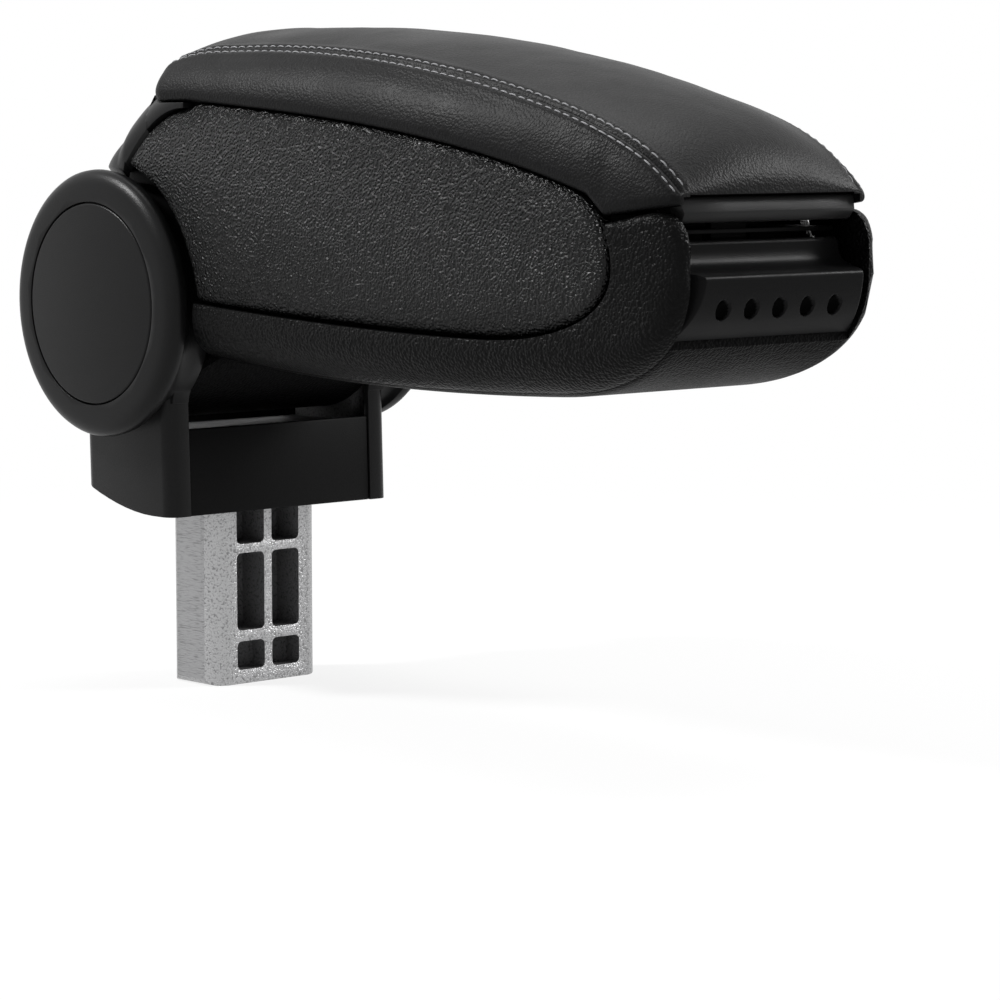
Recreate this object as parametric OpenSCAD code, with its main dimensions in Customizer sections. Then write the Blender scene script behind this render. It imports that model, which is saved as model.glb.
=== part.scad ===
// Car centre armrest: a padded arm with a lidded compartment on a friction hinge.
// A die-cast post under the hinge plugs into the car. +X points forward to the latch, +Y left, +Z up.
// The origin is the middle of the post where it leaves the underside of the base.

/* [Hinge] */
// Height of the hinge axis above the underside of the base
hinge_h = 76; // [70:0.5:90]
// Distance of the middle of the post ahead of the hinge axis
post_x = 7; // [4:0.5:9]
// Diameter of the round hinge housings
disc_d = 96; // [86:1:108]
// How far the round housings stand above the arm's barrel
disc_step = 5.5; // [4:0.1:7]
// Width of the arm's barrel between the housings
barrel_w = 83.4; // [70:0.2:96]
// How far each round housing stands out past the pedestal
disc_out = 12.5; // [11:0.1:15]
// Width of the flat rim round each hinge cap
rim_w = 12; // [9:0.5:15]
// Diameter of the hinge axle
axle_d = 16; // [10:1:20]
// Thickness of each fork arm of the casting
fork_t = 5.4; // [4:0.1:7]

/* [Base] */
// Depth of the pedestal at its underside
base_d = 51; // [44:1:58]
// Distance from the hinge axis forward to the pedestal's front face
base_front = 30; // [27:0.5:33]
// Forward lean of the pedestal's front and rear faces
base_lean = 1.8; // [0:0.1:3]
// Rise of the underside at the rear
base_rise = 10; // [4:0.5:12]
// Wall of the plastic covers
cover_t = 2.6; // [2:0.1:3.2]

/* [Post] */
// Width of the post
post_w = 52; // [44:0.5:60]
// Depth of the post
post_d = 28; // [23:0.5:32]
// Length of the post below the base
post_l = 65; // [54:1:90]
// Width of each of the two columns of pockets
pocket_w = 12.8; // [8:0.2:15]
// Rib between the two columns of pockets
pocket_rib = 3.6; // [2:0.1:5]
// Depth of the upper pockets
pocket_deep = 13; // [8:0.5:16]

/* [Arm] */
// Length of the arm from the hinge axis to its front
arm_l = 277; // [235:1:320]
// How far the arm's sides lie inside the round housings' faces
arm_inset = 6.5; // [5:0.5:9]
// How much narrower the arm is where its front corners start
nose_taper = 17; // [10:0.5:22]
// Plan depth of the rounded front corners
nose_round = 8; // [6:0.5:10]
// Depth of the underside below the hinge axis
belly_h = 23.7; // [20:0.1:28]
// Drop from the lid's front edge to the top edge of the button
button_drop = 24; // [22:0.5:28]
// Width of the side bands below the grained panels
band_w = 9; // [7.5:0.5:11]
// Wall of the arm's outer mouldings
skin_t = 3; // [2.4:0.1:3.6]
// Depth of the grained panels below the side frames
panel_sink = 0.8; // [0:0.1:1.2]

/* [Lid] */
// Height of the lid's lower edge above the hinge axis at the rear
lid_rear_z = 72; // [62:0.5:84]
// Height of the lid's sides at the rear
lid_side = 18; // [14:0.5:22]
// Height of the lid's front edge above the hinge axis
lid_nose_z = 43; // [37:0.5:50]
// Crown of the lid above its seams
crown_h = 8; // [3:0.5:12]
// Distance from the hinge axis to the lid's rear face
lid_x = 26; // [22:0.5:30]
// Thickness of the rigid lid base
lid_t = 3; // [2:0.1:4]
// Diameter of the lid's hinge pin
lid_pin_d = 3; // [2:0.1:4]

/* [Button] */
// Travel of the latch button
button_travel = 3.5; // [2:0.5:4.5]
// Number of dimples on the button
dimples = 5; // [3:1:7]
// Distance between dimples
dimple_pitch = 12.5; // [8:0.5:13]
// Width across each dimple
dimple_d = 6.4; // [4:0.2:7.5]

/* [Compartment] */
// Distance from the front of the compartment to the front of the arm
latch_room = 41; // [39:0.5:60]
// Wall of the compartment
box_t = 2; // [1.5:0.1:3]
// Thickness of the mat on its floor
mat_t = 1.6; // [1:0.1:3]

/* [Hidden] */
$fn = 96;
cut = 1;
gap = 0.3;
fit = 0.04;
far = 400;

black = [0.07, 0.07, 0.075];
smooth_black = [0.09, 0.09, 0.095];
deep_black = [0.05, 0.05, 0.055];
grey_plastic = [0.13, 0.13, 0.14];
cast_metal = [0.72, 0.73, 0.74];
steel = [0.6, 0.6, 0.62];

// Planes across the hinge, measured from the middle of the arm
housing_in = barrel_w/2 + 0.6;
fork_in = housing_in + 0.7;
fork_out = fork_in + fork_t;
base_w = 2*(fork_out + 0.5 + cover_t);
over_w = base_w + 2*disc_out;
housing_out = over_w/2;
cap_t = 2.6;
web_t = 2.5;
cap_seat = housing_out - cap_t - 0.1;
web_out = cap_seat - 2.4;
web_in = web_out - web_t;
rim_in = base_w/2 + 1.5;

// Radii about the hinge
disc_r = disc_d/2;
barrel_r = disc_r - disc_step;
neck_r = barrel_r + 0.5;
cap_r = disc_r - rim_w;
sweep_r = disc_r + 3.2;
cup_r = neck_r - cover_t;
fork_r = cup_r - 3;
boss_ring = fork_r - 9;
base_rear = base_front - base_d;

// Stations along the arm, forward of the hinge axis
hood_x = -11;
groove_x = 3.8;
groove_end = lid_x + 8;
taper_x = 60;
deepest_x = arm_l - 112;
bow_x = arm_l - 85;
chin_x = arm_l - 62;
inset_x = arm_l - 47;
step_x = arm_l - 38;
nose_x = arm_l - 27;
panel_end = arm_l - 26.5;
brow_x = arm_l - 22;
box_front = arm_l - latch_room;
lid_end = arm_l - 3.5;

// Heights above the hinge axis
lid_front_z = lid_nose_z - 0.5;
seam_top_z = lid_rear_z + lid_side;
lip_z = lid_nose_z - 8.4;
nose_z = lid_nose_z - button_drop;
button_low = nose_z - 21.2;
chin_h = (nose_z - 7 + belly_h - 5.4)/0.844;

pin_x = lid_x + 4;
pin_z = lid_rear_z + 8;
corner_r = norm([pin_x - lid_x, pin_z - lid_rear_z]) + 0.5;
knuckle_r = lid_pin_d/2 + 2;

function ramp(a) = max(0, a);
function unit(a) = min(1, max(0, a));
function mix(a, b, t) = a + (b - a)*t;
function round_drop(t, p) = 1 - pow(1 - pow(unit(t), p), 1/p);

// Half the width of the arm at x
function half_w(x) =
    over_w/2 - arm_inset
    - nose_taper/2*pow(ramp(x - taper_x)/(nose_x - taper_x), 2)
    - nose_round*round_drop((x - nose_x)/(arm_l + 1.5 - nose_x), 2);
mouth_half = half_w(arm_l);
// Height of the underside at x
function belly(x) =
    -belly_h + 0.00043*pow(x - deepest_x, 2)
    + chin_h*round_drop((x - chin_x)/(arm_l + 0.3 - chin_x), 2.4);
// Height of the parting line between arm and lid at x
function part_z(x) =
    let (t = ramp(x - 50)/(step_x - 50))
    x <= step_x
        ? lid_rear_z - (lid_rear_z - lid_front_z)*(0.457*t + 0.543*pow(t, 3))
        : mix(lid_front_z, lid_front_z - 6.5, unit((x - step_x)/7)) + 0.125*ramp(x - step_x - 7);
// Height of the smooth hood behind the lid
function hood(x) =
    let (low = barrel_r - 1)
    low + (lid_rear_z + 4.2 - low)*pow(unit((x - hood_x)/(lid_x - hood_x)), 0.6);
// Top of the arm's mouldings at x
function brow(x) =
    x < lid_x - 0.3
        ? hood(x)
        : part_z(x) - 0.4 - (part_z(x) - nose_z - 0.9)*round_drop((x - brow_x)/(arm_l + 0.3 - brow_x), 4.5);

// Half the distance between the side frames along the underside
function band_y(x) = max(mouth_half, half_w(x) - band_w);

arm_stations = concat(
    [hood_x, hood_x + 4, hood_x + 10, 7, 16, lid_x - 0.4, lid_x - 0.2, 42, taper_x],
    [for (k = [1:5]) mix(taper_x, chin_x, k/5)],
    [for (back = [47, 38, 34.5, 31, 25, 18, 12, 7, 3.5, 1.2, 0]) arm_l - back]);

// Radius of the lower corners at x, smaller towards the chin
function corner(x) = 16 - 9*pow(unit((x - chin_x)/(arm_l - chin_x)), 1.5);

// One cross-section of the arm at x, drawn i inside its skin
function arm_ring(x, i) =
    let (ends = unit((x - inset_x)/40) - unit((16 - x)/(16 - hood_x)),
         w = half_w(x) - i - (x < 4 ? 7*round_drop((4 - x)/(4.5 - hood_x), 2) : 0),
         low = belly(x) + i,
         at = x - i*ends,
         top = x < lid_x - 0.3 ? brow(x) - i : brow(at) + 0.01*i,
         r = max(0.8, min(corner(x) - i, (top - low)*0.45)),
         q = x < lid_x - 0.3 ? 7 : 0.5)
    [for (a = [0:5]) let (c = a*18) [at, w - r + r*sin(c) , low + r - r*cos(c)],
     for (a = [0:2]) let (c = a*45) [at, w - q + q*cos(c), top - q + q*sin(c)],
     for (a = [2:-1:0]) let (c = a*45) [at, -w + q - q*cos(c), top - q + q*sin(c)],
     for (a = [5:-1:0]) let (c = a*18) [at, -w + r - r*sin(c), low + r - r*cos(c)]];

// Height, half spacing and crown of the lid's seams
function seam_t(x) = ramp(x - 70)/(lid_end - 70);
function seam_z(x) =
    seam_top_z - (seam_top_z - lid_nose_z)*(0.766*pow(seam_t(x), 2) + 0.234*pow(seam_t(x), 15))
    - 4*pow(ramp(50 - x)/22, 2);
function seam_y(x) =
    mouth_half + 2.3 + ramp(70 - x)*ramp(70 - x)/400 - 2.6*pow(ramp(x - step_x)/(lid_end - step_x), 2);
function crown(x) = crown_h*(1 - round_drop((x - lid_end + 15.5)/15.6, 3)) + 2*ramp(50 - x)/22;

lid_stations = concat(
    [for (on = [0, 1.5, 4, 8]) lid_x + on],
    [for (k = [0:6]) mix(50, chin_x - 7, k/6)],
    [for (back = [52, 38, 34.5, 31, 24, 17, 11.5, 7.5, 5]) arm_l - back],
    [lid_end]);

// One cross-section of the lid at x
function lid_ring(x) =
    let (low = part_z(x),
         w = half_w(x) - 7*round_drop((lid_x + 8 - x)/8.2, 2),
         ys = min(seam_y(x), w - 1),
         zs = seam_z(x) - 8*round_drop((lid_x + 5 - x)/5.2, 2))
    concat(
        [for (a = [0:3]) let (c = a*20)
            [x, mix(w, ys, (1 - cos(c))/(1 - cos(60))), mix(low, zs, sin(c)/sin(60))]],
        [for (s = [0.72, 0.4, 0, -0.4, -0.72]) [x, s*ys, zs + crown(x)*(1 - s*s)]],
        [for (a = [3:-1:0]) let (c = a*20)
            [x, -mix(w, ys, (1 - cos(c))/(1 - cos(60))), mix(low, zs, sin(c)/sin(60))]]);

// Outline of the arm seen from above, i inside its skin
function plan_side(i) = [for (x = arm_stations) if (x > lid_x) [x - i*unit((x - inset_x)/40), half_w(x) - i]];

// Places the hinge axis at the origin of what is drawn
module at_hinge() {
    translate([-post_x, 0, hinge_h]) children();
}

// Extrudes a side view from y0 to y1
module from_side(y0, y1) {
    translate([0, y1, 0]) rotate([90, 0, 0]) linear_extrude(y1 - y0) children();
}

// Extrudes a front view from x0 to x1
module from_front(x0, x1) {
    translate([x0, 0, 0]) rotate([90, 0, 90]) linear_extrude(x1 - x0) children();
}

// Cylinder along Y from y0 to y1
module rod_y(r, y0, y1) {
    translate([0, y1, 0]) rotate([90, 0, 0]) cylinder(r = r, h = y1 - y0);
}

// Cylinder along X from x0 to x1
module rod_x(r, x0, x1) {
    translate([x0, 0, 0]) rotate([0, 90, 0]) cylinder(r = r, h = x1 - x0);
}

// Ring along Y from y0 to y1
module ring_y(outer, inner, y0, y1) {
    difference() {
        rod_y(outer, y0, y1);
        rod_y(inner, y0 - cut, y1 + cut);
    }
}

module both_sides() {
    children();
    mirror([0, 1, 0]) children();
}

// Rectangle with round corners, centred
module round_rect(w, d, r) {
    square([w - 2*r, d], center = true);
    square([w, d - 2*r], center = true);
    for (x = [-1, 1], y = [-1, 1]) translate([x*(w/2 - r), y*(d/2 - r)]) circle(r);
}

// Skins a row of rings with equal numbers of points into a closed solid
module loft(rings) {
    n = len(rings[0]);
    m = len(rings);
    polyhedron(
        points = [for (ring = rings) each ring],
        faces = concat(
            [[for (j = [0:n - 1]) j]],
            [for (i = [0:m - 2], j = [0:n - 1]) [i*n + j, (i + 1)*n + j, (i + 1)*n + (j + 1)%n]],
            [for (i = [0:m - 2], j = [0:n - 1]) [i*n + j, (i + 1)*n + (j + 1)%n, i*n + (j + 1)%n]],
            [[for (j = [n - 1:-1:0]) (m - 1)*n + j]]));
}

// Casting: post, crossbar and fork

// Plan of the post: cast with large corners, then milled flat on all four sides
module post_outline(grow) {
    mill = 0.8;
    intersection() {
        round_rect(post_d + 2*mill + 2*grow, post_w + 2*mill + 2*grow, 12);
        square([post_d + 2*grow, post_w + 2*grow], center = true);
    }
}

module spigot() {
    toe = 4;
    intersection() {
        translate([post_x, 0, -hinge_h - post_l]) linear_extrude(post_l + 8) post_outline(0);
        from_side(-post_w, post_w)
            translate([post_x, 0])
                difference() {
                    translate([-post_d, -hinge_h - post_l]) square([2*post_d, post_l + 10]);
                    translate([-post_d/2, -hinge_h - post_l])
                        difference() {
                            square(2*toe, center = true);
                            translate([toe, toe]) circle(toe);
                        }
                }
        from_front(post_x - post_d, post_x + post_d)
            translate([0, -hinge_h - post_l/2 + 5]) round_rect(post_w + 0.4, post_l + 10, toe);
    }
}

module post_pockets() {
    front = post_x + post_d/2;
    rows = [[-6, 13.2, pocket_deep], [16.6, post_l - 19.8, pocket_deep], [post_l - 15.7, post_l - 5.2, 7.5]];
    for (s = [-1, 1], row = rows)
        translate([0, s*(pocket_rib + pocket_w)/2, -hinge_h - (row[0] + row[1])/2])
            from_front(front - row[2], front + cut)
                round_rect(pocket_w, row[1] - row[0], 2);
}

// Step left in the floor of one long pocket
module pocket_step() {
    front = post_x + post_d/2;
    translate([front - pocket_deep - 1, -pocket_rib/2 - pocket_w - 0.5, -hinge_h - post_l + 19])
        cube([5, pocket_w*0.55, 10]);
}

// Plan of the pedestal, i inside its outer face
module pedestal_outline(i) {
    translate([(base_front + base_rear)/2, 0]) round_rect(base_d - 2*i, base_w - 2*i, 5 - i/2);
}

// Pedestal block leaning forward, i inside its outer face
module pedestal_block(i) {
    translate([0, 0, -hinge_h]) rotate([0, -base_lean, 0])
        translate([0, 0, -4]) linear_extrude(hinge_h) pedestal_outline(i);
}

// Side view of everything above the curved underside, lifted by up
module above_underside(up, top) {
    steps = 8;
    reach = 40;
    polygon(concat(
        [for (s = [0:steps]) [base_rear - 2 + (reach + 2)*s/steps,
                              -hinge_h + up + base_rise*pow(1 - s/steps, 1.8)]],
        [[base_front + 10, -hinge_h + up], [base_front + 10, top], [base_rear - 2, top]]));
}

module fork_outline() {
    circle(fork_r);
    translate([-15, -hinge_h + 20]) square([34, hinge_h - 20]);
}

module post() {
    color(cast_metal)
    at_hinge()
    difference() {
        union() {
            spigot();
            intersection() {
                pedestal_block(cover_t + 0.5);
                from_side(-fork_out, fork_out) above_underside(1, -barrel_r - 4.5);
            }
            both_sides() from_side(fork_in, fork_out) fork_outline();
        }
        difference() {
            post_pockets();
            pocket_step();
        }
        rod_y(axle_d/2 + fit, -over_w, over_w);
        both_sides() for (a = [90, 210, 330])
            translate([boss_ring*cos(a), 0, boss_ring*sin(a)]) rod_y(2 + fit, fork_in - cut, fork_out + cut);
        // Weight-saving pockets in the crossbar on both sides of the post
        both_sides() translate([post_x - 2, 35, -hinge_h - 1])
            linear_extrude(hinge_h - barrel_r - 11.5) round_rect(26, 12, 3);
    }
}

// Covers of the base

// Half section of the round housing: radius across, distance from the middle upwards
function rim_profile() = concat(
    [[0, housing_in], [neck_r, housing_in], [neck_r, housing_in + 4.5]],
    [for (a = [15:15:75]) [mix(neck_r, disc_r - 1.2, 1 - cos(a)), housing_in + 4.5 + (rim_in - housing_in - 1)*sin(a)]],
    [[disc_r - 0.5, housing_out - 7.2], [disc_r, housing_out - 5]],
    [for (a = [15:15:90]) [disc_r - 6.5 + 6.5*cos(a), housing_out - 4.6 + 4.3*sin(a)]],
    [[cap_r + 3, housing_out], [cap_r + 0.8, housing_out], [0, housing_out]]);

module housing_disc() {
    rotate([-90, 0, 0]) rotate_extrude() polygon(rim_profile());
}

// Fills the corner between the round neck and the pedestal's front
module neck_fillet() {
    r = 8;
    face = base_front - 1;
    cx = face + r;
    cz = -sqrt(pow(neck_r + r, 2) - pow(cx, 2));
    from_side(housing_in, base_w/2 - 2)
        difference() {
            polygon([[face - 6, cz], [face, cz], [cx*neck_r/(neck_r + r), cz*neck_r/(neck_r + r)],
                     [face - 6, cz + 8]]);
            translate([cx, cz]) circle(r);
        }
}

module housing() {
    difference() {
        union() {
            housing_disc();
            intersection() {
                pedestal_block(0);
                from_side(housing_in, base_w/2 + cut) above_underside(0, 0);
            }
            neck_fillet();
        }
        // Room for the fork and its nut, open towards the barrel
        rod_y(cup_r, housing_in - cut, web_in);
        intersection() {
            pedestal_block(cover_t);
            from_side(housing_in - cut, base_w/2 - cover_t) above_underside(-3, 0);
        }
        // Seat of the cap and the room behind it
        rod_y(cap_r + 0.5, cap_seat, housing_out + cut);
        rod_y(cap_r - 3, web_out, cap_seat + cut);
        rod_y(axle_d/2 + 5, web_in - cut, web_out + cut);
        for (a = [90, 210, 330])
            translate([boss_ring*cos(a), 0, boss_ring*sin(a)]) rod_y(2.3, web_in - cut, web_out + cut);
    }
    // Bosses that stand on the fork
    for (a = [90, 210, 330])
        translate([boss_ring*cos(a), 0, boss_ring*sin(a)]) ring_y(4.5, 2.3, fork_out + 0.1, web_in + 0.4);
}

module side_housing_left() {
    color(smooth_black) at_hinge() housing();
}

module side_housing_right() {
    color(smooth_black) at_hinge() mirror([0, 1, 0]) housing();
}

module cap() {
    r = cap_r;
    rotate([-90, 0, 0]) rotate_extrude()
        polygon([[0, cap_seat + 0.1], [r, cap_seat + 0.1], [r, housing_out - 0.4], [r - 0.5, housing_out + 0.1],
                 [0, housing_out + 0.1]]);
}

module hinge_cap_left() {
    color(smooth_black) at_hinge() cap();
}

module hinge_cap_right() {
    color(smooth_black) at_hinge() mirror([0, 1, 0]) cap();
}

module between_housings(top) {
    from_side(-housing_in + gap, housing_in - gap) above_underside(0, top);
}

module front_panel() {
    color(deep_black) at_hinge()
    intersection() {
        difference() {
            pedestal_block(0.5);
            pedestal_block(cover_t + 0.2);
        }
        between_housings(-barrel_r - 2.2);
        translate([post_x, -far/2, -far]) cube(far);
    }
}

module rear_panel() {
    color(smooth_black) at_hinge()
    intersection() {
        difference() {
            pedestal_block(0.2);
            pedestal_block(cover_t + 0.2);
        }
        between_housings(-barrel_r - 2.2);
        translate([post_x - far, -far/2, -far]) cube(far);
    }
}

// Hinge hardware

module axle() {
    color(steel) at_hinge() rod_y(axle_d/2, -web_out + 1.5, web_out - 1.5);
}

module axle_nuts() {
    color(steel) at_hinge()
    both_sides()
        difference() {
            translate([0, fork_out + 5.6, 0]) rotate([90, 0, 0]) cylinder(r = axle_d/2 + 4, h = 5.5, $fn = 6);
            rod_y(axle_d/2 + fit, fork_out - cut, fork_out + 7);
        }
}

module friction_washers() {
    color(steel) at_hinge()
    both_sides() ring_y(axle_d/2 + 8, axle_d/2 + fit, fork_in - 1.5, fork_in - 0.05);
}

module housing_screws() {
    color(steel) at_hinge()
    both_sides() for (a = [90, 210, 330])
        translate([boss_ring*cos(a), 0, boss_ring*sin(a)]) {
            rod_y(2, fork_in + 1, web_out + 0.3);
            rod_y(3.8, web_out + 0.05, web_out + 2);
        }
}

// Arm: outer mouldings

// Where the compartment lies inside the mouldings
box_rear = barrel_r + 13;
box_half = min(half_w(box_front), half_w(box_rear)) - skin_t - 3;
box_low = max(belly(box_front) + skin_t + 3.4, belly(box_rear) + skin_t + 1.5);
deck_side = skin_t + 2.6;

module arm_form(i) {
    loft([for (x = arm_stations) arm_ring(x, i)]);
}

// Room for the housings when the arm swings
module housing_room() {
    both_sides() rod_y(sweep_r, barrel_w/2, over_w);
}

// Room for the lower rear corner of the lid as it opens
module lid_room() {
    from_side(-over_w, over_w)
        intersection() {
            translate([pin_x, pin_z]) circle(corner_r);
            translate([lid_x - 0.35, 0]) square(far);
        }
}

// Plan of the strip between the side frames, g narrower on each side
module strip_outline(g) {
    xs = [for (x = arm_stations) if (x > lid_x) x];
    polygon(concat(
        [[hood_x, -band_y(lid_x) + g]], [for (x = xs) [x, -band_y(x) + g]], [[arm_l + 5, -mouth_half + g]],
        [[arm_l + 5, mouth_half - g]], [for (k = [len(xs) - 1:-1:0]) [xs[k], band_y(xs[k]) - g]],
        [[hood_x, band_y(lid_x) - g]]));
}

module strip(g) {
    translate([0, 0, -far/2]) linear_extrude(far) strip_outline(g);
}

// Line between the grained panel and the smooth hood, from the housing up to the lid
function groove_z(x) =
    let (start = sqrt(pow(sweep_r, 2) - pow(groove_x, 2)))
    start + (lid_rear_z - 2 - start)*(1 - pow(1 - unit((x - groove_x)/(groove_end - groove_x)), 1.55));
groove_stations = [groove_x, 6.5, 10, 14, 19, 25, groove_end];

// Side view of the grained panel, g smaller all round
module panel_outline(g) {
    low = 19.2 - belly_h;
    steps = 7;
    r = sweep_r + 0.4 + g;
    mid = nose_z + 1;
    end_x = panel_end - g;
    rear = asin((2 + g)/r);
    top = acos((groove_x + 3 + g)/r);
    polygon(concat(
        [for (a = [0:steps]) let (c = mix(rear, top, a/steps)) [r*cos(c), r*sin(c)]],
        [for (x = groove_stations) if (x > groove_x + 5) [x + g, groove_z(x) - g]],
        [for (k = [0:9]) let (x = mix(groove_end + 10, step_x - 1, k/9)) [x, part_z(x) + 3]],
        [for (k = [steps - 1:-1:0]) let (t = k/steps)
            [end_x - 10.5*t*t, mix(mid, lid_front_z, t)]],
        [for (k = [1:steps]) let (c = 90*k/steps)
            [bow_x + (end_x - bow_x)*pow(cos(c), 0.87), mid - (mid - low - g)*pow(sin(c), 0.87)]],
        [for (k = [1:5]) let (t = k/6) [mix(bow_x, r, t), low + g + 6.3*pow(t, 1.6)]]));
}

module panel_prism(g) {
    from_side(-over_w, over_w) panel_outline(g);
}

// Side view of the hood, behind the groove line, g smaller
module hood_outline(g) {
    polygon(concat(
        [[hood_x - 20, 20], [groove_x - g, 20]],
        [for (x = groove_stations) [x - g, groove_z(x) + g]],
        [[groove_end - g, far], [hood_x - 20, far]]));
}

module side_frame() {
    difference() {
        intersection() {
            arm_form(0);
            translate([lid_x - 25, 0, -far/2]) cube(far);
        }
        arm_form(skin_t + 2.3);
        strip(0);
        difference() {
            panel_prism(0);
            arm_form(skin_t + gap);
        }
        from_side(-over_w, over_w) hood_outline(-gap);
        housing_room();
        lid_room();
    }
}

module side_frame_left() {
    color(black) at_hinge() side_frame();
}

module side_frame_right() {
    color(black) at_hinge() mirror([0, 1, 0]) side_frame();
}

module side_panel() {
    difference() {
        intersection() {
            arm_form(panel_sink);
            panel_prism(gap);
            translate([0, mouth_half + 2, -far/2]) cube(far);
        }
        arm_form(skin_t);
        from_side(-over_w, over_w) hood_outline(-gap);
        lid_room();
    }
}

module side_panel_left() {
    color(deep_black) at_hinge() side_panel();
}

module side_panel_right() {
    color(deep_black) at_hinge() mirror([0, 1, 0]) side_panel();
}

module rear_cover() {
    color(smooth_black) at_hinge()
    difference() {
        intersection() {
            arm_form(0);
            from_side(-over_w, over_w) hood_outline(0);
        }
        arm_form(skin_t);
        rod_y(barrel_r + gap, -barrel_w/2 - cut, barrel_w/2 + cut);
        housing_room();
        lid_room();
        translate([lid_x - 0.35, -far/2, 0]) cube(far);
    }
}

// Screws through the underside into the tray
screw_spots = [for (x = [box_rear + 36.5, box_front - 36], y = [10 - mouth_half, mouth_half - 10]) [x, y]];

// Round corner between barrel and underside
module barrel_fillet() {
    r = 12;
    cz = belly(45) - r;
    cx = sqrt(pow(barrel_r + r, 2) - cz*cz);
    k = barrel_r/(barrel_r + r);
    from_side(-barrel_w/2, barrel_w/2)
        difference() {
            polygon([[cx*k, cz*k], [cx, cz + r], [cx, cz + r + 2], [cx*k - 3, cz + r + 2]]);
            translate([cx, cz]) circle(r);
        }
}

// Window inside the arm where the compartment's webs pass through the barrel, g smaller
module barrel_window(g) {
    intersection() {
        rod_y(barrel_r + gap, -barrel_w/2 + 3 + g, barrel_w/2 - 3 - g);
        translate([4 + g, -far/2, box_low + 2.5 + g]) cube(far);
    }
}

module lower_shell() {
    color(black) at_hinge()
    difference() {
        union() {
            difference() {
                intersection() {
                    arm_form(0);
                    strip(0.25);
                    translate([0, -far/2, button_low - 0.7 - far]) cube(far);
                }
                arm_form(skin_t);
                housing_room();
            }
            rod_y(barrel_r, -barrel_w/2, barrel_w/2);
            barrel_fillet();
        }
        rod_y(barrel_r - skin_t, -barrel_w/2 - cut, barrel_w/2 + cut);
        barrel_window(0);
        for (p = screw_spots) translate([p[0], p[1], belly(p[0]) - cut]) {
            cylinder(r = 2.2, h = skin_t + 3);
            cylinder(r = 4.2, h = cut + 1.6);
        }
    }
}

// Arm: compartment

// Front view of the compartment, i inside its outer wall
module box_section(i) {
    r = 13 - i;
    w = box_half - i;
    translate([-w + r, box_low + i]) square([2*w - 2*r, far]);
    translate([-w, box_low + i + r]) square([2*w, far]);
    for (s = [-1, 1]) translate([s*(w - r), box_low + i + r]) circle(r);
}

// Side view of a layer that follows the parting line from low to high below it
module deck_layer(x0, x1, low, high) {
    xs = concat([x0], [for (x = arm_stations) if (x > x0 + 1 && x < x1 - 1) x], [x1]);
    polygon(concat([for (x = xs) [x, part_z(x) - low]],
                   [for (k = [len(xs) - 1:-1:0]) [xs[k], part_z(xs[k]) - high]]));
}

module below_deck() {
    from_side(-far/2, far/2) deck_layer(lid_x, box_front + 30, far/2, 0.8);
}

module plan_prism(i) {
    side = plan_side(i);
    translate([0, 0, -far/2]) linear_extrude(far)
        polygon(concat([[lid_x + 1, half_w(lid_x) - i]], side,
                       [for (k = [len(side) - 1:-1:0]) [side[k][0], -side[k][1]]],
                       [[lid_x + 1, -half_w(lid_x) + i]]));
}

module hinge_core() {
    core_out = barrel_r - skin_t - gap;
    wall = 2.6;
    hub = axle_d/2 + 6;
    ring_y(core_out, core_out - wall, -barrel_w/2 + 0.4, barrel_w/2 - 0.4);
    rod_y(hub, -barrel_w/2 + 0.4, barrel_w/2 - 0.4);
    for (a = [22.5:45:360]) rotate([0, a, 0])
        translate([hub - 1, -barrel_w/2 + 2, -1.25]) cube([core_out - hub, barrel_w - 4, 2.5]);
}

// Ears that hold the lid's hinge pin
ear_y = 22;
ear_t = 5;

module tray_body() {
    // Compartment
    intersection() {
        from_front(box_rear, box_front) box_section(0);
        below_deck();
    }
    // Rim that the lid closes on
    intersection() {
        from_side(-far/2, far/2) deck_layer(lid_x + 2, box_front + 4, 2.8, 0.4);
        plan_prism(deck_side);
    }
    // Hinge core and the webs that join it to the compartment
    hinge_core();
    for (k = [-1.5:1.5]) translate([0, k*(barrel_w - 11.4)/3, 0])
        from_side(-1.5, 1.5)
            difference() {
                polygon([[18, box_low + 4], [box_rear + 1, box_low + 4], [box_rear + 1, part_z(box_rear) - 1],
                         [lid_x + 3, lid_rear_z - 2], [lid_x - 8, barrel_r + 6], [0, barrel_r - skin_t - 1]]);
                circle(barrel_r - skin_t - 0.7);
            }
    // Lid hinge ears
    both_sides() from_side(ear_y, ear_y + ear_t) {
        translate([pin_x, pin_z]) circle(knuckle_r);
        translate([pin_x - knuckle_r, lid_rear_z - 3]) square([2*knuckle_r, pin_z - lid_rear_z + 3]);
    }
    // Rails beside the latch
    both_sides() translate([box_front - 1, mouth_half - 3.2, box_low + 8])
        cube([wall_x + 2 - box_front, 2.6, lip_z - 6 - box_low - 8]);
    // Bosses for the screws
    for (p = screw_spots) translate([p[0], p[1], belly(p[0]) + skin_t + 0.3])
        cylinder(r = 4.6, h = box_low - belly(p[0]) - skin_t + 0.5);
}

module tray() {
    color(black) at_hinge()
    difference() {
        tray_body();
        from_front(box_rear + box_t, box_front - box_t) box_section(box_t);
        rod_y(axle_d/2 + 2 + fit, -over_w, over_w);
        translate([pin_x, 0, pin_z]) rod_y(lid_pin_d/2 + fit, -far/2, far/2);
        for (p = screw_spots) translate([p[0], p[1], belly(p[0]) - cut])
            cylinder(r = 1.8, h = box_low - belly(p[0]) + cut + 1);
        // Lower rear edge of the lid swings here, between the ears' roots
        difference() {
            lid_room();
            both_sides() translate([0, ear_y, 0]) cube([far, ear_t, far]);
        }
        // Way for the barrel's skin
        difference() {
            ring_y(barrel_r + gap, barrel_r - skin_t - gap, -over_w, over_w);
            barrel_window(gap);
        }
    }
}

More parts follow.
